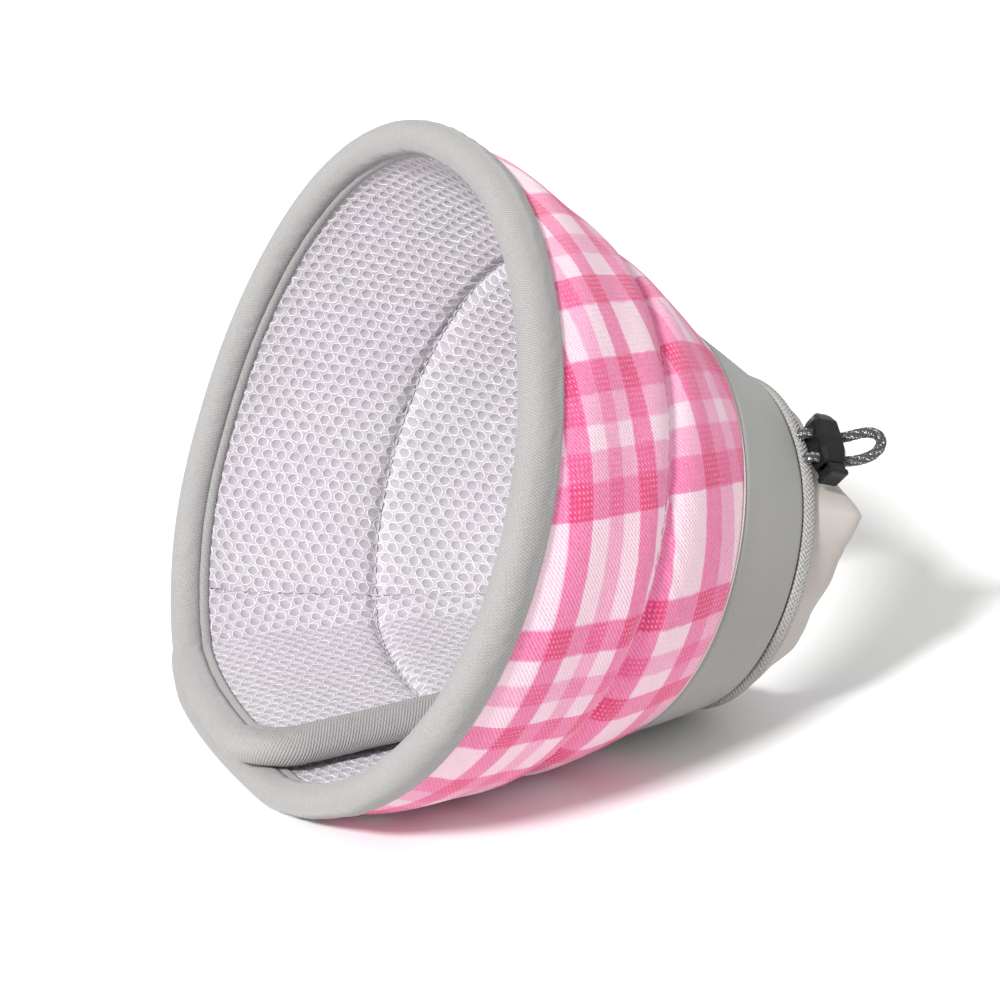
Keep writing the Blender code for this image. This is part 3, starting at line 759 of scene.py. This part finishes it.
def ends_clear(along, margin):
    """First and last angle at a slant distance, this far inside both ends of the fan."""
    radius = RIM_RADIUS + (NECK_RADIUS - RIM_RADIUS) * along / SLANT
    return START_ANGLE + np.degrees(margin / radius), END_ANGLE - np.degrees(margin / radius)


def round_profile(middle, depth, width, height, sides=10):
    """An ellipse as a closed profile, walked so that its faces point outwards."""
    turn = np.linspace(0, 2 * math.pi, sides, endpoint=False)
    return np.stack([middle - width / 2 * np.cos(turn), depth + height / 2 * np.sin(turn)], -1)


SEAM_ANGLES = np.linspace(*ends_clear(SEAM, BINDING_WIDTH), int(900 * FINE))
JOIN_ANGLES = np.linspace(*ends_clear(PLAID_LENGTH, BINDING_WIDTH), int(700 * FINE))
strip("plaid_edge_line", round_profile(PLAID_LENGTH, -0.0007, 0.0009, 0.0009), JOIN_ANGLES, CREAM)

# %% [markdown]
# ## Binding
#
# The twill binding is folded over the rim and over both ends of the fan. On the outside it lies flat.
# On the inside it is a full round roll, a stitched groove, and a narrow selvedge. Its section is a short
# table of insets and depths, rounded by the same cubic, and carried along the three bound edges.

# %% Binding
BINDING_COLUMNS = 520
BINDING_CLOTH = 0.0009
BINDING_SECTION = np.array([
    # inset    depth
    (0.0101,  -0.0006),
    (0.0099,   0.0002),
    (0.0082,   0.0004),
    (0.0060,   0.0006),
    (0.0037,   0.0004),
    (0.0013,  -0.0009),
    (0.0002,  -0.0036),
    (0.0014,  -0.0064),
    (0.0037,  -0.0080),
    (0.0058,  -0.0083),
    (0.0074,  -0.0077),
    (0.0083,  -0.0060),
    (0.0088,  -0.0072),
    (0.0096,  -0.0077),
    (0.0106,  -0.0074),
    (0.0107,  -0.0066),
])


def edge_path(inset, count):
    """Stations and slant distances of a line this far inside all three bound edges."""
    turn = np.radians(np.linspace(0, 90, max(int(20 * FINE), 8)))
    station = 1 - (1 - inset / CORNER) * np.cos(turn)
    along = CORNER - (CORNER - inset) * np.sin(turn)
    between = np.linspace(1, 2, int(count * FINE) + 1)[1:-1]
    sides = np.linspace(CORNER, SLANT, int(70 * FINE) + 2)[1:]
    left = 0 * sides + inset / CORNER
    return (np.concatenate([left, station, between, 3 - station[::-1], 3 - left]),
            np.concatenate([sides[::-1], along, 0 * between + inset, along[::-1], sides]))


def make_binding():
    knots = np.linspace(0, 1, len(BINDING_SECTION))
    fine = np.linspace(0, 1, int(44 * FINE) + 4)
    inset = smooth_table(fine, BINDING_SECTION[:, 0], knots)
    depth = smooth_table(fine, BINDING_SECTION[:, 1], knots)
    width = np.concatenate([[0], np.cumsum(np.hypot(np.diff(inset), np.diff(depth)))])
    points, uv = [], []
    for low, out, around in zip(inset, depth, width):
        station, along = edge_path(low, BINDING_COLUMNS)
        angle = station_angle(station, along)
        arc = np.linspace(0, 1.0, len(station))
        ripple = (0.00022 * soft_noise(arc, around + 0 * arc, 0.016, 21)
                  + 0.00016 * soft_noise(arc, around + 0 * arc, 0.006, 22))
        rounder = np.sin(math.pi * np.clip(low / BINDING_WIDTH, 0, 1))
        swell = ripple * rounder * (1.0 if out > -WALL / 2 else -1.0)
        points.append(place(angle, along, out + swell))
        uv.append(np.stack([arc, around + 0 * arc], -1))
    rows, columns = len(points), len(points[0])
    made = surface("rim_binding", np.concatenate(points), grid_quads(rows, columns), BINDING,
                   uv=np.concatenate(uv))
    wall = made.modifiers.new("cloth wall", "SOLIDIFY")
    wall.thickness = BINDING_CLOTH
    wall.offset = -1.0
    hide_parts("edge_binding")
    return made


binding = make_binding()


def edge_line(inset, depth):
    """The line of a seam that follows the binding, and the outward direction along it."""
    station, along = edge_path(inset, BINDING_COLUMNS)
    return cone_line(station_angle(station, along), along, depth)


inner_groove = edge_line(0.0083, -0.0063)
outer_row = edge_line(0.0087, 0.00045)
stitches("binding_stitches", [(inner_groove[0], -inner_groove[1]), outer_row], 0.0034, 0.0026, 0.0005,
         THREAD, "binding", lift=0.0001)

# %% [markdown]
# ## Air mesh
#
# The lining is a knitted spacer mesh: staggered oval holes with white yarn round them, and a lilac-grey
# ground behind. The relief is real. One tile is a hole with its share of the yarn, in rings: the tile's
# border, the crown of the yarn, the hole's edge, and the ground in the middle. Tiles in
# neighbouring rows are half a tile apart, and their borders have points at quarter tiles, so that all
# the tiles meet. The lattice is straight in the flat fan and turned a little, as the cloth was cut. Two
# slow drifts then shift every point in the flat cloth, so that the knit is uneven but stays closed.

# %% Mesh tile
TILE_ROUND = 0.00410
TILE_SLANT = 0.00395
HOLE_ROUND = 0.00158
HOLE_SLANT = 0.00156
UNEVEN_KNIT = (
    # wave     shift    seed
    (0.0085,  0.00030,  51),
    (0.0030,  0.00015,  53),
)
BORDER = np.array([(-2, -2), (-1, -2), (0, -2), (1, -2), (2, -2), (2, 0), (2, 2), (1, 2), (0, 2),
                   (-1, 2), (-2, 2), (-2, 0)]) / 4


def mesh_tile():
    """Points of a tile (round, slant, height), the signed distance to its hole's edge, how far each lies
    beside the hole rather than above or below it, and the faces."""
    border = BORDER * (TILE_ROUND, TILE_SLANT)
    turn = np.arctan2(border[:, 1] / TILE_SLANT, border[:, 0] / TILE_ROUND)
    hole = np.stack([np.cos(turn) * HOLE_ROUND, np.sin(turn) * HOLE_SLANT], -1)
    crown = hole + (border - hole) * 0.42
    rings = [(border, 0.00022), (crown, 0.00030), (hole, 0.00012)]
    points = np.vstack([np.column_stack([ring, np.full(len(ring), height)]) for ring, height in rings]
                       + [[(0, 0, -0.00016)]])
    size = np.hypot(points[:, 0] / HOLE_ROUND, points[:, 1] / HOLE_SLANT)
    distance = (size - 1) * (HOLE_ROUND + HOLE_SLANT) / 2
    beside = np.abs(points[:, 0]) / np.maximum(np.hypot(points[:, 0], points[:, 1]), 1e-6)
    quads = grid_quads(len(rings), len(border), closed_columns=True)
    ring = np.arange(len(border)) + (len(rings) - 1) * len(border)
    centre = np.full(len(border), len(points) - 1)
    middle = np.stack([ring, np.roll(ring, -1), centre], -1)
    return points, distance, beside, quads, middle


def lining_depth(station, along):
    """Depth of the lining's face: the table's puff, the seam's crease and the dent of the sewn patch."""
    angle = station_angle(station, along)
    inner = off_binding(station, along)
    puff = smooth_table(along / SLANT, PUFF_IN) * LINING
    crease = groove(along - SEAM, 0.0016, 0.0016)
    arc = np.radians(angle - PATCH_ANGLE) * (RIM_RADIUS - along * STEEPNESS)
    dent = groove(arc, 0.0012, 0.0016) * step_up(along, 0.012, 0.020)
    slow = 0.0004 * soft_noise(np.radians(angle) * 0.08, along, 0.045, 31)
    return -WALL - (puff + slow * inner - puckers(angle, along, 5)) * inner - (crease + dent)


PATCH_ANGLE = START_ANGLE + OVERLAP_ANGLE
LATTICE_TURN = (
    # first angle, last angle, middle of the lattice, turn in degrees
    (PATCH_ANGLE, END_ANGLE, 20.0, 12.0),
    (START_ANGLE, PATCH_ANGLE, -60.0, -38.0),
)


def from_flat(flat):
    """Angle and slant distance of a place in the flat fan: its heading and its distance, unrolled."""
    turn = np.degrees(np.arctan2(flat[..., 0], flat[..., 1]))
    return FAN_MIDDLE + turn / STEEPNESS, FAN_RADIUS - np.hypot(flat[..., 0], flat[..., 1])


def station_of(angle, along):
    """The station at an angle and a slant distance."""
    corner = np.degrees(CORNER / (RIM_RADIUS - along * STEEPNESS))
    first, last = START_ANGLE + corner, END_ANGLE - corner
    return np.where(angle < first, (angle - START_ANGLE) / corner,
                    np.where(angle > last, 3 - (END_ANGLE - angle) / corner,
                             1 + (angle - first) / (last - first)))


def mesh_face(name, low, high):
    """The tiles between two slant distances, bent onto the cone; those on a border end at it."""
    tile, distance, beside, quads, middle = mesh_tile()
    points, blocks, fans, uv, tiles = [], [], [], [], 0
    total = 0
    for first, last, middle_angle, turn in LATTICE_TURN:
        heading = math.radians((middle_angle - FAN_MIDDLE) * STEEPNESS + turn)
        round_way = np.array([math.cos(heading), -math.sin(heading)])
        slant_way = np.array([-math.sin(heading), -math.cos(heading)])
        reach = int(FAN_RADIUS / TILE_SLANT) + 2
        column, row = np.meshgrid(np.arange(-reach, reach), np.arange(-reach, reach))
        centre = ((column + 0.5 * (row % 2))[..., None] * TILE_ROUND * round_way
                  + row[..., None] * TILE_SLANT * slant_way).reshape(-1, 2)
        angle, along = from_flat(centre)
        station = station_of(angle, along)
        half = np.degrees(TILE_ROUND / 2 / (RIM_RADIUS - along * STEEPNESS))
        keep = ((along > low - TILE_SLANT / 2) & (along < high + TILE_SLANT / 2)
                & (angle > first - half) & (angle < last + half))
        keep &= inset_at(station, along) > BINDING_WIDTH - 0.0012
        centre = centre[keep]
        flat = (centre[:, None] + tile[None, :, :1] * round_way + tile[None, :, 1:2] * slant_way)
        for size, shift, seed in UNEVEN_KNIT:
            drift = [soft_noise(flat[..., 0], flat[..., 1], size, seed + k) for k in (0, 1)]
            flat = flat + shift * np.stack(drift, -1)
        angle, along = from_flat(flat)
        along = np.clip(along, low, high)
        angle = np.clip(angle, first, last)
        station = station_of(angle, along)
        height = tile[:, 2] * step_up(inset_at(station, along), BINDING_WIDTH, BINDING_WIDTH + 0.001)
        depth = edge_drop(station, along, lining_depth(station, along), -WALL + 0.0013) - height
        offset = total + np.arange(len(centre))[:, None, None] * len(tile)
        points.append(place(angle, along, depth).reshape(-1, 3))
        uv.append(flat.reshape(-1, 2))
        tiles += len(centre)
        blocks.append((quads[None, :, ::-1] + offset).reshape(-1, 4))
        fans.append((middle[None, :, ::-1] + offset).reshape(-1, 3))
        total += len(centre) * len(tile)
    values = {"edge": np.tile(distance, tiles), "beside": np.tile(beside, tiles)}
    return surface(name, np.vstack(points), [np.vstack(blocks), np.vstack(fans)], AIR_MESH,
                   uv=np.vstack(uv), values=values)


def air_mesh_finish():
    """White yarn beyond a hole's edge, with a painted highlight along the yarn's crown that is brightest
    where a strand runs beside the hole, and the lilac-grey ground inside it."""
    cloth = Finish("white air mesh", (0.80, 0.77, 0.81), 0.75, Sheen_Weight=0.3, Sheen_Roughness=0.4)
    edge = cloth.value("edge")
    wander = cloth.noise(420.0, 3.0)
    beside = cloth.value("beside").above(0.25, 0.80)
    reach = (edge - 0.00026 + 0.0008 * (wander - 0.5)).size()
    yarn = (edge + 0.0009 * (wander - 0.5)).above(-0.00018, 0.00010)
    # painted highlight: a bright line along the crown of each white strand, strongest beside the hole; the
    # same line also raises the bump
    strand_crown_highlight = (1.0 - reach.above(0.00006, 0.00024)) * (0.25 + 0.75 * beside)
    patchy = cloth.noise(26.0, 2.0)
    fleck = cloth.noise(1500.0, 2.0)
    # the yarn is darker away from the painted highlight and brightest on it
    white = cloth.mix(0.12 + 0.95 * strand_crown_highlight + 0.8 * (fleck - 0.5), (0.40, 0.37, 0.405), (0.94, 0.91, 0.95))
    lilac = cloth.mix((patchy - 0.42) * 4.0, (0.335, 0.318, 0.335), (0.37, 0.305, 0.375))
    ground = cloth.mix(0.25 + 0.6 * (fleck - 0.5), lilac, (0.48, 0.455, 0.485))
    cloth.colour(cloth.mix(yarn * (0.70 + 0.30 * wander), ground, white))
    cloth.bump(strand_crown_highlight + 0.5 * fleck, 0.00022, 0.9)
    return cloth.material


AIR_MESH = air_mesh_finish()
BACKING = plain_cloth("lilac mesh ground", (0.50, 0.47, 0.53), 0.0009, 0.00006, speckle=0.2)


def make_lining_pad():
    """The lining's own body behind the tiles: a closed pad as long as the whole cone."""
    inset = PAD_EDGE
    station, start = fan_columns(inset, LINING_COLUMNS)
    rows = np.linspace(inset, SLANT, int(90 * FINE))
    along = climb(start, inset, rows)
    columns = station + 0 * along
    face = edge_drop(columns, along, lining_depth(columns, along) + 0.0007, -WALL + 0.0016)
    picked = np.linspace(len(rows) - 1, 0, 12).astype(int)
    back = np.full((len(picked), len(station)), -PAD - GAP)
    back[:, [0, -1]] = face[picked][:, [0, -1]] + 0.0003
    along_all = np.vstack([along, along[picked]])
    depth_all = np.vstack([face, back])
    columns = station + 0 * along_all
    angle = station_angle(columns, along_all)
    quads = grid_quads(*along_all.shape, closed_rows=True)[:, ::-1]
    made = surface("lining_pad", place(angle, along_all, depth_all).reshape(-1, 3), quads, BACKING,
                   uv=flat_place(angle, along_all).reshape(-1, 2))
    return made


make_lining_pad()
rim_mesh = mesh_face("air_mesh_rim", BINDING_WIDTH - 0.001, SEAM)
neck_mesh = mesh_face("air_mesh_neck", SEAM, SLANT - 0.0006)
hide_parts("mesh_lining")
mesh_points = len(rim_mesh.data.vertices) + len(neck_mesh.data.vertices)
print("holes in the mesh:", mesh_points // len(mesh_tile()[0]))

# %% [markdown]
# The quilt seam shows on both faces as a row of stitches in its crease. On the inside a second row
# runs along the slant, where the hidden closure is sewn on.

# %% Quilt stitches
seam_out = cone_line(SEAM_ANGLES, SEAM, -0.28 * PAD - 0.0005)
seam_in = cone_line(SEAM_ANGLES, SEAM, -WALL + 0.20 * LINING + 0.0008)
patch_along = np.linspace(BINDING_WIDTH + 0.004, SLANT - 0.010, 90)
patch_in = cone_line(PATCH_ANGLE + 0 * patch_along, patch_along, -WALL + 0.0006)
QUILT_STITCH = (0.0036, 0.0027, 0.0005)
stitches("quilt_stitches", [seam_out], *QUILT_STITCH, PINK_THREAD, "plaid")
stitches("lining_stitches", [(seam_in[0], -seam_in[1]), (patch_in[0], -patch_in[1])],
         *QUILT_STITCH, PALE_THREAD, "air_mesh")

# %% [markdown]
# ## Neck tape and sleeve
#
# A flat herringbone tape covers the neck seam. The thin sleeve beyond it is one cloth folded double over
# the drawcord, and the cord gathers it, so it lies in slack folds that grow towards the hem. Its section
# is the solid's, rounded, with folds added that are sharper on their crests than in their valleys.


# %% Neck tape
def neck_angles(count):
    low, high = ends_clear(SLANT, BINDING_WIDTH)
    return np.linspace(low, high, int(count * FINE))


tape_profile = [(0.0001, -0.0010), (0.0001, 0.0001), (0.0007, 0.0004), (0.0022, 0.0003), (0.0040, 0.0000),
                (TAPE_WIDTH, -0.0004), (TAPE_WIDTH, -0.0013)]
neck_tape = strip("neck_seam_tape", tape_profile, neck_angles(460), TAPE, collar_side=True)
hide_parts("neck_tape")


# %% Sleeve
def hem_at(angle):
    """Length and radius of the gathered hem at an angle, its folds included."""
    wrapped = np.mod(angle, 360.0)
    table = np.vstack([HEM[-1] - (360.0, 0, 0), HEM])
    length = np.interp(wrapped, table[:, 0], table[:, 1]) * SLEEVE_LENGTH
    radius = np.interp(wrapped, table[:, 0], table[:, 2]) * NECK_RADIUS
    quiet = np.clip(np.abs(wrapped - LOCK_ANGLE) / 16 - 0.6, 0, 1)
    fold = np.sin(np.radians(wrapped * GATHERS)) * GATHER_DEPTH * quiet
    return length, radius + fold


def sleeve_skin(angle):
    """The folded channel in section: distances beyond the seam and radii of its outer face."""
    length, radius = hem_at(angle)
    channel = SLEEVE_PLY + CHANNEL_ROOM + CORD_DIAMETER / 2
    root = NECK_RADIUS - 1.5 * TAPE_THICKNESS - GAP + 0 * angle
    middle = (root + radius) / 2
    cuff = length - channel
    waist = TAPE_WIDTH + 0.5 * (cuff - TAPE_WIDTH)
    return [
        (GAP + 0 * angle, root), (TAPE_WIDTH + 0 * angle, root - GAP), (waist, middle), (cuff, radius),
        (length, radius - channel), (cuff, radius - 2 * channel), (waist, radius - 2 * channel),
        (GAP + 0 * angle, root - 2 * SLEEVE_PLY - GAP)]


FOLD_STEP = 0.0125
SLEEVE_CLOTH = 0.0005


def make_sleeve():
    angle = neck_angles(480)
    section = np.array(sleeve_skin(angle))
    knots = np.linspace(0, 1, len(section))
    fine = np.linspace(0, 1, int(34 * FINE) + 4)
    beyond = np.stack([smooth_table(fine, column, knots) for column in section[:, 0].T], -1)
    radius = np.stack([smooth_table(fine, column, knots) for column in section[:, 1].T], -1)
    turn, row = np.meshgrid(angle, fine)
    grow = step_up(row, 0.08, 0.42) * (1 - step_up(row, 0.75, 0.98))
    arc = np.radians(turn) * NECK_RADIUS
    beat = arc / FOLD_STEP + 0.9 * soft_noise(arc, row * 0.01, 0.05, 41) + 0.5 * row
    crest = np.abs(np.sin(math.pi * beat)) ** 0.8 - 0.6
    folds = grow * (0.0004 * crest + 0.0005 * soft_noise(arc, row * 0.03, 0.022, 42))
    radius = radius + folds
    points = collar(turn, beyond, radius)
    quads = grid_quads(*turn.shape)
    made = surface("gathered_sleeve", points.reshape(-1, 3), quads, SLEEVE,
                   uv=np.stack([arc, row * 0.05], -1).reshape(-1, 2))
    wall = made.modifiers.new("cloth wall", "SOLIDIFY")
    wall.thickness = SLEEVE_CLOTH
    wall.offset = -1.0
    size = np.linalg.norm(np.cross(points[1:, :-1] - points[:-1, :-1], points[:-1, 1:] - points[:-1, :-1]),
                          axis=-1).sum()
    return made, size


sleeve, sleeve_area = make_sleeve()
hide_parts("neck_sleeve")

# %% [markdown]
# ## Drawcord and lock
#
# The drawcord leaves the tape, runs through the two-hole lock and comes back in a short loop. It is a
# round braid: strands wind both ways round it, so its surface is a tube whose radius rises and falls
# where two families of helices cross. The route's few points are those of the solid.

# %% Lock frame and cord route
LEAD = (
    # along  across  out
    (-1.52, 1.00, -0.42),
    (-1.38, 1.00, -0.16),
    (-1.10, 1.00, 0.00),
    (-0.50, 1.00, 0.00),
    (0.50, 1.00, 0.00),
    (1.00, 1.00, 0.00),
)
LOOP = (
    # along  across  out
    (0.20, 1.02, 0.08),
    (0.42, 1.06, 0.24),
    (0.62, 0.96, 0.44),
    (0.76, 0.58, 0.60),
    (0.81, 0.00, 0.66),
)


def lock_frame():
    """Where the cord lock sits: x along the cord, y away from the button, z away from the neck."""
    turn = math.radians(LOCK_ANGLE)
    axis, top = (Vector(v) for v in axes_at(NECK_LEAN))
    out = Vector((0, math.cos(turn), 0)) + top * math.sin(turn)
    along = out.cross(axis).normalized()
    skin = sleeve_skin(np.array([LOCK_ANGLE]))
    contact = LOCK_REACH - LOCK_WIDTH / 2 + LOCK_ROUNDING / 3
    seat = np.interp(contact, [float(a[0]) for a, r in skin[:4]], [float(r[0]) for a, r in skin[:4]])
    centre = Vector(collar(np.array([LOCK_ANGLE]), np.array([LOCK_REACH]),
                           np.array([seat + GAP + LOCK_DEPTH / 2]))[0])
    return Matrix.Translation(centre) @ Matrix((axis, along, out)).transposed().to_4x4()


def smooth_route(points, steps):
    """Catmull-Rom curve through given points, with so many steps between each two."""
    points = np.array(points, float)
    full = np.vstack([2 * points[0] - points[1], points, 2 * points[-1] - points[-2]])
    share = (np.arange(steps) / steps)[:, None]
    pieces = []
    for a, b, c, d in zip(full, full[1:], full[2:], full[3:]):
        pieces.append(0.5 * (2 * b + (c - a) * share + (2 * a - 5 * b + 4 * c - d) * share ** 2
                             + (3 * b - a - 3 * c + d) * share ** 3))
    return np.vstack(pieces + [points[-1:]])


LOCK = lock_frame()


def drawcord_route(steps):
    """The visible cord: off the tape, through the lock, round in a loop and back again."""
    lead = [(x * LOCK_WIDTH / 2, y * STRAND_PITCH / 2, z * LOCK_DEPTH / 2) for x, y, z in LEAD]
    loop = [(LOCK_WIDTH / 2 + x * LOOP_LENGTH, y * STRAND_PITCH / 2, z * LOOP_LENGTH) for x, y, z in LOOP]
    half = lead + loop
    route = half + [(x, -y, z) for x, y, z in reversed(half[:-1])]
    return np.array([LOCK @ Vector(point) for point in smooth_route(route, steps)])


BRAID_STRANDS = 5
BRAID_PITCH = 0.0050


def braid_finish():
    """Dark braid with bright flecks: the crossings of two helices, and threads of one of them in white."""
    cord = Finish("dark braid", (0.12, 0.12, 0.125), 0.6)
    length, around = cord.uv()
    first = (around * BRAID_STRANDS + length * (2 * math.pi / BRAID_PITCH)).sine()
    second = (around * BRAID_STRANDS - length * (2 * math.pi / BRAID_PITCH)).sine()
    threads = (around * 34 + length * (2 * math.pi / 0.0016)).sine()
    fleck = cord.noise(2300.0, 2.0).above(0.54, 0.62) * first.above(-0.3, 0.6)
    dark = cord.mix(0.5 + 0.5 * threads, (0.012, 0.012, 0.014), (0.070, 0.070, 0.073))
    cord.colour(cord.mix(fleck, dark, (0.85, 0.85, 0.86)))
    cord.bump(0.6 * first * second + 0.3 * threads, 0.0002, 0.9)
    return cord.material


def make_drawcord():
    route = drawcord_route(int(14 * FINE) + 4)
    sides = 20
    ahead = np.gradient(route, axis=0)
    ahead /= np.linalg.norm(ahead, axis=1, keepdims=True)
    out = np.array(LOCK.to_3x3().col[2])
    side = np.cross(ahead, out)
    side /= np.linalg.norm(side, axis=1, keepdims=True)
    up = np.cross(side, ahead)
    length = np.concatenate([[0], np.cumsum(np.linalg.norm(np.diff(route, axis=0), axis=1))])
    turn = np.linspace(0, 2 * math.pi, sides, endpoint=False)
    turns, lengths = np.meshgrid(turn, length)
    along_pitch = lengths * 2 * math.pi / BRAID_PITCH
    wave = np.sin(BRAID_STRANDS * turns + along_pitch) * np.sin(BRAID_STRANDS * turns - along_pitch)
    radius = CORD_DIAMETER / 2 * (0.97 + 0.05 * wave)
    points = (route[:, None] + radius[..., None] * (np.cos(turns)[..., None] * side[:, None]
                                                    + np.sin(turns)[..., None] * up[:, None]))
    points = np.vstack([points.reshape(-1, 3), route[:1], route[-1:]])
    quads = grid_quads(len(route), sides, closed_columns=True)
    ring = np.arange(sides)
    last = (len(route) - 1) * sides
    caps = np.vstack([np.stack([np.roll(ring, -1), ring, 0 * ring + len(points) - 2], -1),
                      np.stack([last + ring, last + np.roll(ring, -1), 0 * ring + len(points) - 1], -1)])
    uv = np.vstack([np.stack([lengths, turns], -1).reshape(-1, 2), [(0, 0), (length[-1], 0)]])
    made = surface("braided_drawcord", points, [quads, caps], braid_finish(), uv=uv)
    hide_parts("drawcord")
    print("drawcord length", round(length[-1] * 1000, 1), "mm")
    return made


make_drawcord()

# %% [markdown]
# The lock is black moulded plastic with broad chamfers that catch the light. Its section is a rectangle
# with cut corners, which grows and shrinks along its height and turns back into the bore at the button's
# end, so the spring button has a real opening to move in.

# %% Cord lock
LOCK_ROWS = (
    # height  width  depth  cut    as shares of the lock's half sizes
    (-1.00, 0.00, 0.00, 0.30),
    (-1.00, 0.50, 0.50, 0.30),
    (-0.86, 0.70, 0.70, 0.30),
    (-0.60, 0.96, 0.94, 0.30),
    (0.00, 1.00, 1.00, 0.30),
    (0.50, 1.00, 0.98, 0.30),
    (0.90, 0.86, 0.84, 0.30),
    (1.00, 0.76, 0.74, 0.30),
    (1.00, 0.66, 0.66, 0.20),
    (0.60, 0.64, 0.66, 0.20),
    (-0.84, 0.64, 0.66, 0.20),
    (-0.84, 0.00, 0.00, 0.20),
)


def plastic_finish(name):
    """Black plastic: glossy, with faint scuffs in its roughness."""
    shell = Finish(name, (0.010, 0.010, 0.011), 0.2, Specular_IOR_Level=0.24)
    scuffs = shell.noise(300.0, 4.0)
    shell.roughness(0.10 + 0.16 * scuffs)
    shell.colour(shell.mix(scuffs, (0.004, 0.004, 0.005), (0.014, 0.014, 0.015)))
    shell.bump(shell.noise(160.0, 2.0), 0.00006, 0.5)
    return shell.material


LOCK_BLACK = plastic_finish("black lock plastic")


def cut_rectangle(width, depth, cut):
    """Eight corners of a rectangle whose corners are cut off."""
    corners = []
    for x, z in ((1, -1), (1, 1), (-1, 1), (-1, -1)):
        ends = [(x * width, z * depth * (1 - cut)), (x * width * (1 - cut), z * depth)]
        corners += ends if x * z > 0 else ends[::-1]
    return corners


def make_lock():
    points = []
    for height, width, depth, cut in LOCK_ROWS:
        outline = cut_rectangle(width * LOCK_WIDTH / 2, depth * LOCK_DEPTH / 2, cut)
        points += [LOCK @ Vector((x, LOCK_OFFSET - height * LOCK_HEIGHT / 2, z)) for x, z in outline]
    quads = grid_quads(len(LOCK_ROWS), 8, closed_columns=True)
    made = surface("lock_shell", np.array(points), quads, LOCK_BLACK, smooth=False)
    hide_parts("cord_lock_shell")
    edge = made.modifiers.new("soft edges", "BEVEL")
    edge.width = 0.0005
    edge.segments = 3
    edge.limit_method = "ANGLE"
    return made


make_lock()


def dress_node(name, finish):
    """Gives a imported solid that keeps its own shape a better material."""
    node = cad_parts[name]
    node.data.materials.clear()
    node.data.materials.append(finish)


def object_cloth(name, colour, scale, depth):
    """Cloth for a solid with no UV map: fibres from noise on the object's own coordinates."""
    cloth = Finish(name, colour, 0.85)
    fibres = cloth.noise(scale, 4.0)
    cloth.colour(cloth.mix(fibres, tuple(c * 0.6 for c in colour), tuple(c * 1.3 for c in colour)))
    cloth.bump(fibres, depth, 0.9)
    return cloth.material


dress_node("cord_lock_button", plastic_finish("black button plastic"))
dress_node("hem_cord", object_cloth("hidden cord braid", (0.12, 0.12, 0.125), 1500.0, 0.0002))
dress_node("closure_tape", object_cloth("grey hook and loop", (0.30, 0.29, 0.30), 2200.0, 0.0004))

# %% [markdown]
# ## Floor and light
#
# The cone lies on a white floor in a bright room. One far, soft light comes from above and from the
# mouth's side, and the white surroundings fill the shadows, so only a soft shadow is left at the neck.


# %% Stage
FLOOR_REACH = 6.0
FLOOR_GAP = 0.0002


def make_floor():
    size = FLOOR_REACH
    corners = np.array([(-size, -size, 0), (size, -size, 0), (size, size, 0), (-size, size, 0)])
    mesh = bpy.data.meshes.new("floor")
    mesh.from_pydata((corners - (0, 0, FLOOR_GAP)).tolist(), [], [(0, 1, 2, 3)])
    paper = Finish("white floor", (0.86, 0.86, 0.855), 0.9)
    mesh.materials.append(paper.material)
    floor = bpy.data.objects.new("floor", mesh)
    bpy.context.scene.collection.objects.link(floor)


def key_light(direction, strength, spread):
    """A far light that shines along a direction; its spread in degrees softens the shadow's edge."""
    lamp = bpy.data.lights.new("key light", "SUN")
    lamp.energy = strength
    lamp.angle = math.radians(spread)
    made = bpy.data.objects.new("key light", lamp)
    made.rotation_euler = direction.to_track_quat("-Z", "Y").to_euler()
    bpy.context.scene.collection.objects.link(made)


make_floor()
key_light(Vector((1.0, 0.62, -0.85)), 4.1, 8.0)

world = bpy.data.worlds.new("bright room")
world.use_nodes = True
world.node_tree.nodes["Background"].inputs["Color"].default_value = (1.0, 1.0, 0.995, 1)
world.node_tree.nodes["Background"].inputs["Strength"].default_value = 0.73
bpy.context.scene.world = world
bpy.context.scene.view_settings.view_transform = "Standard"
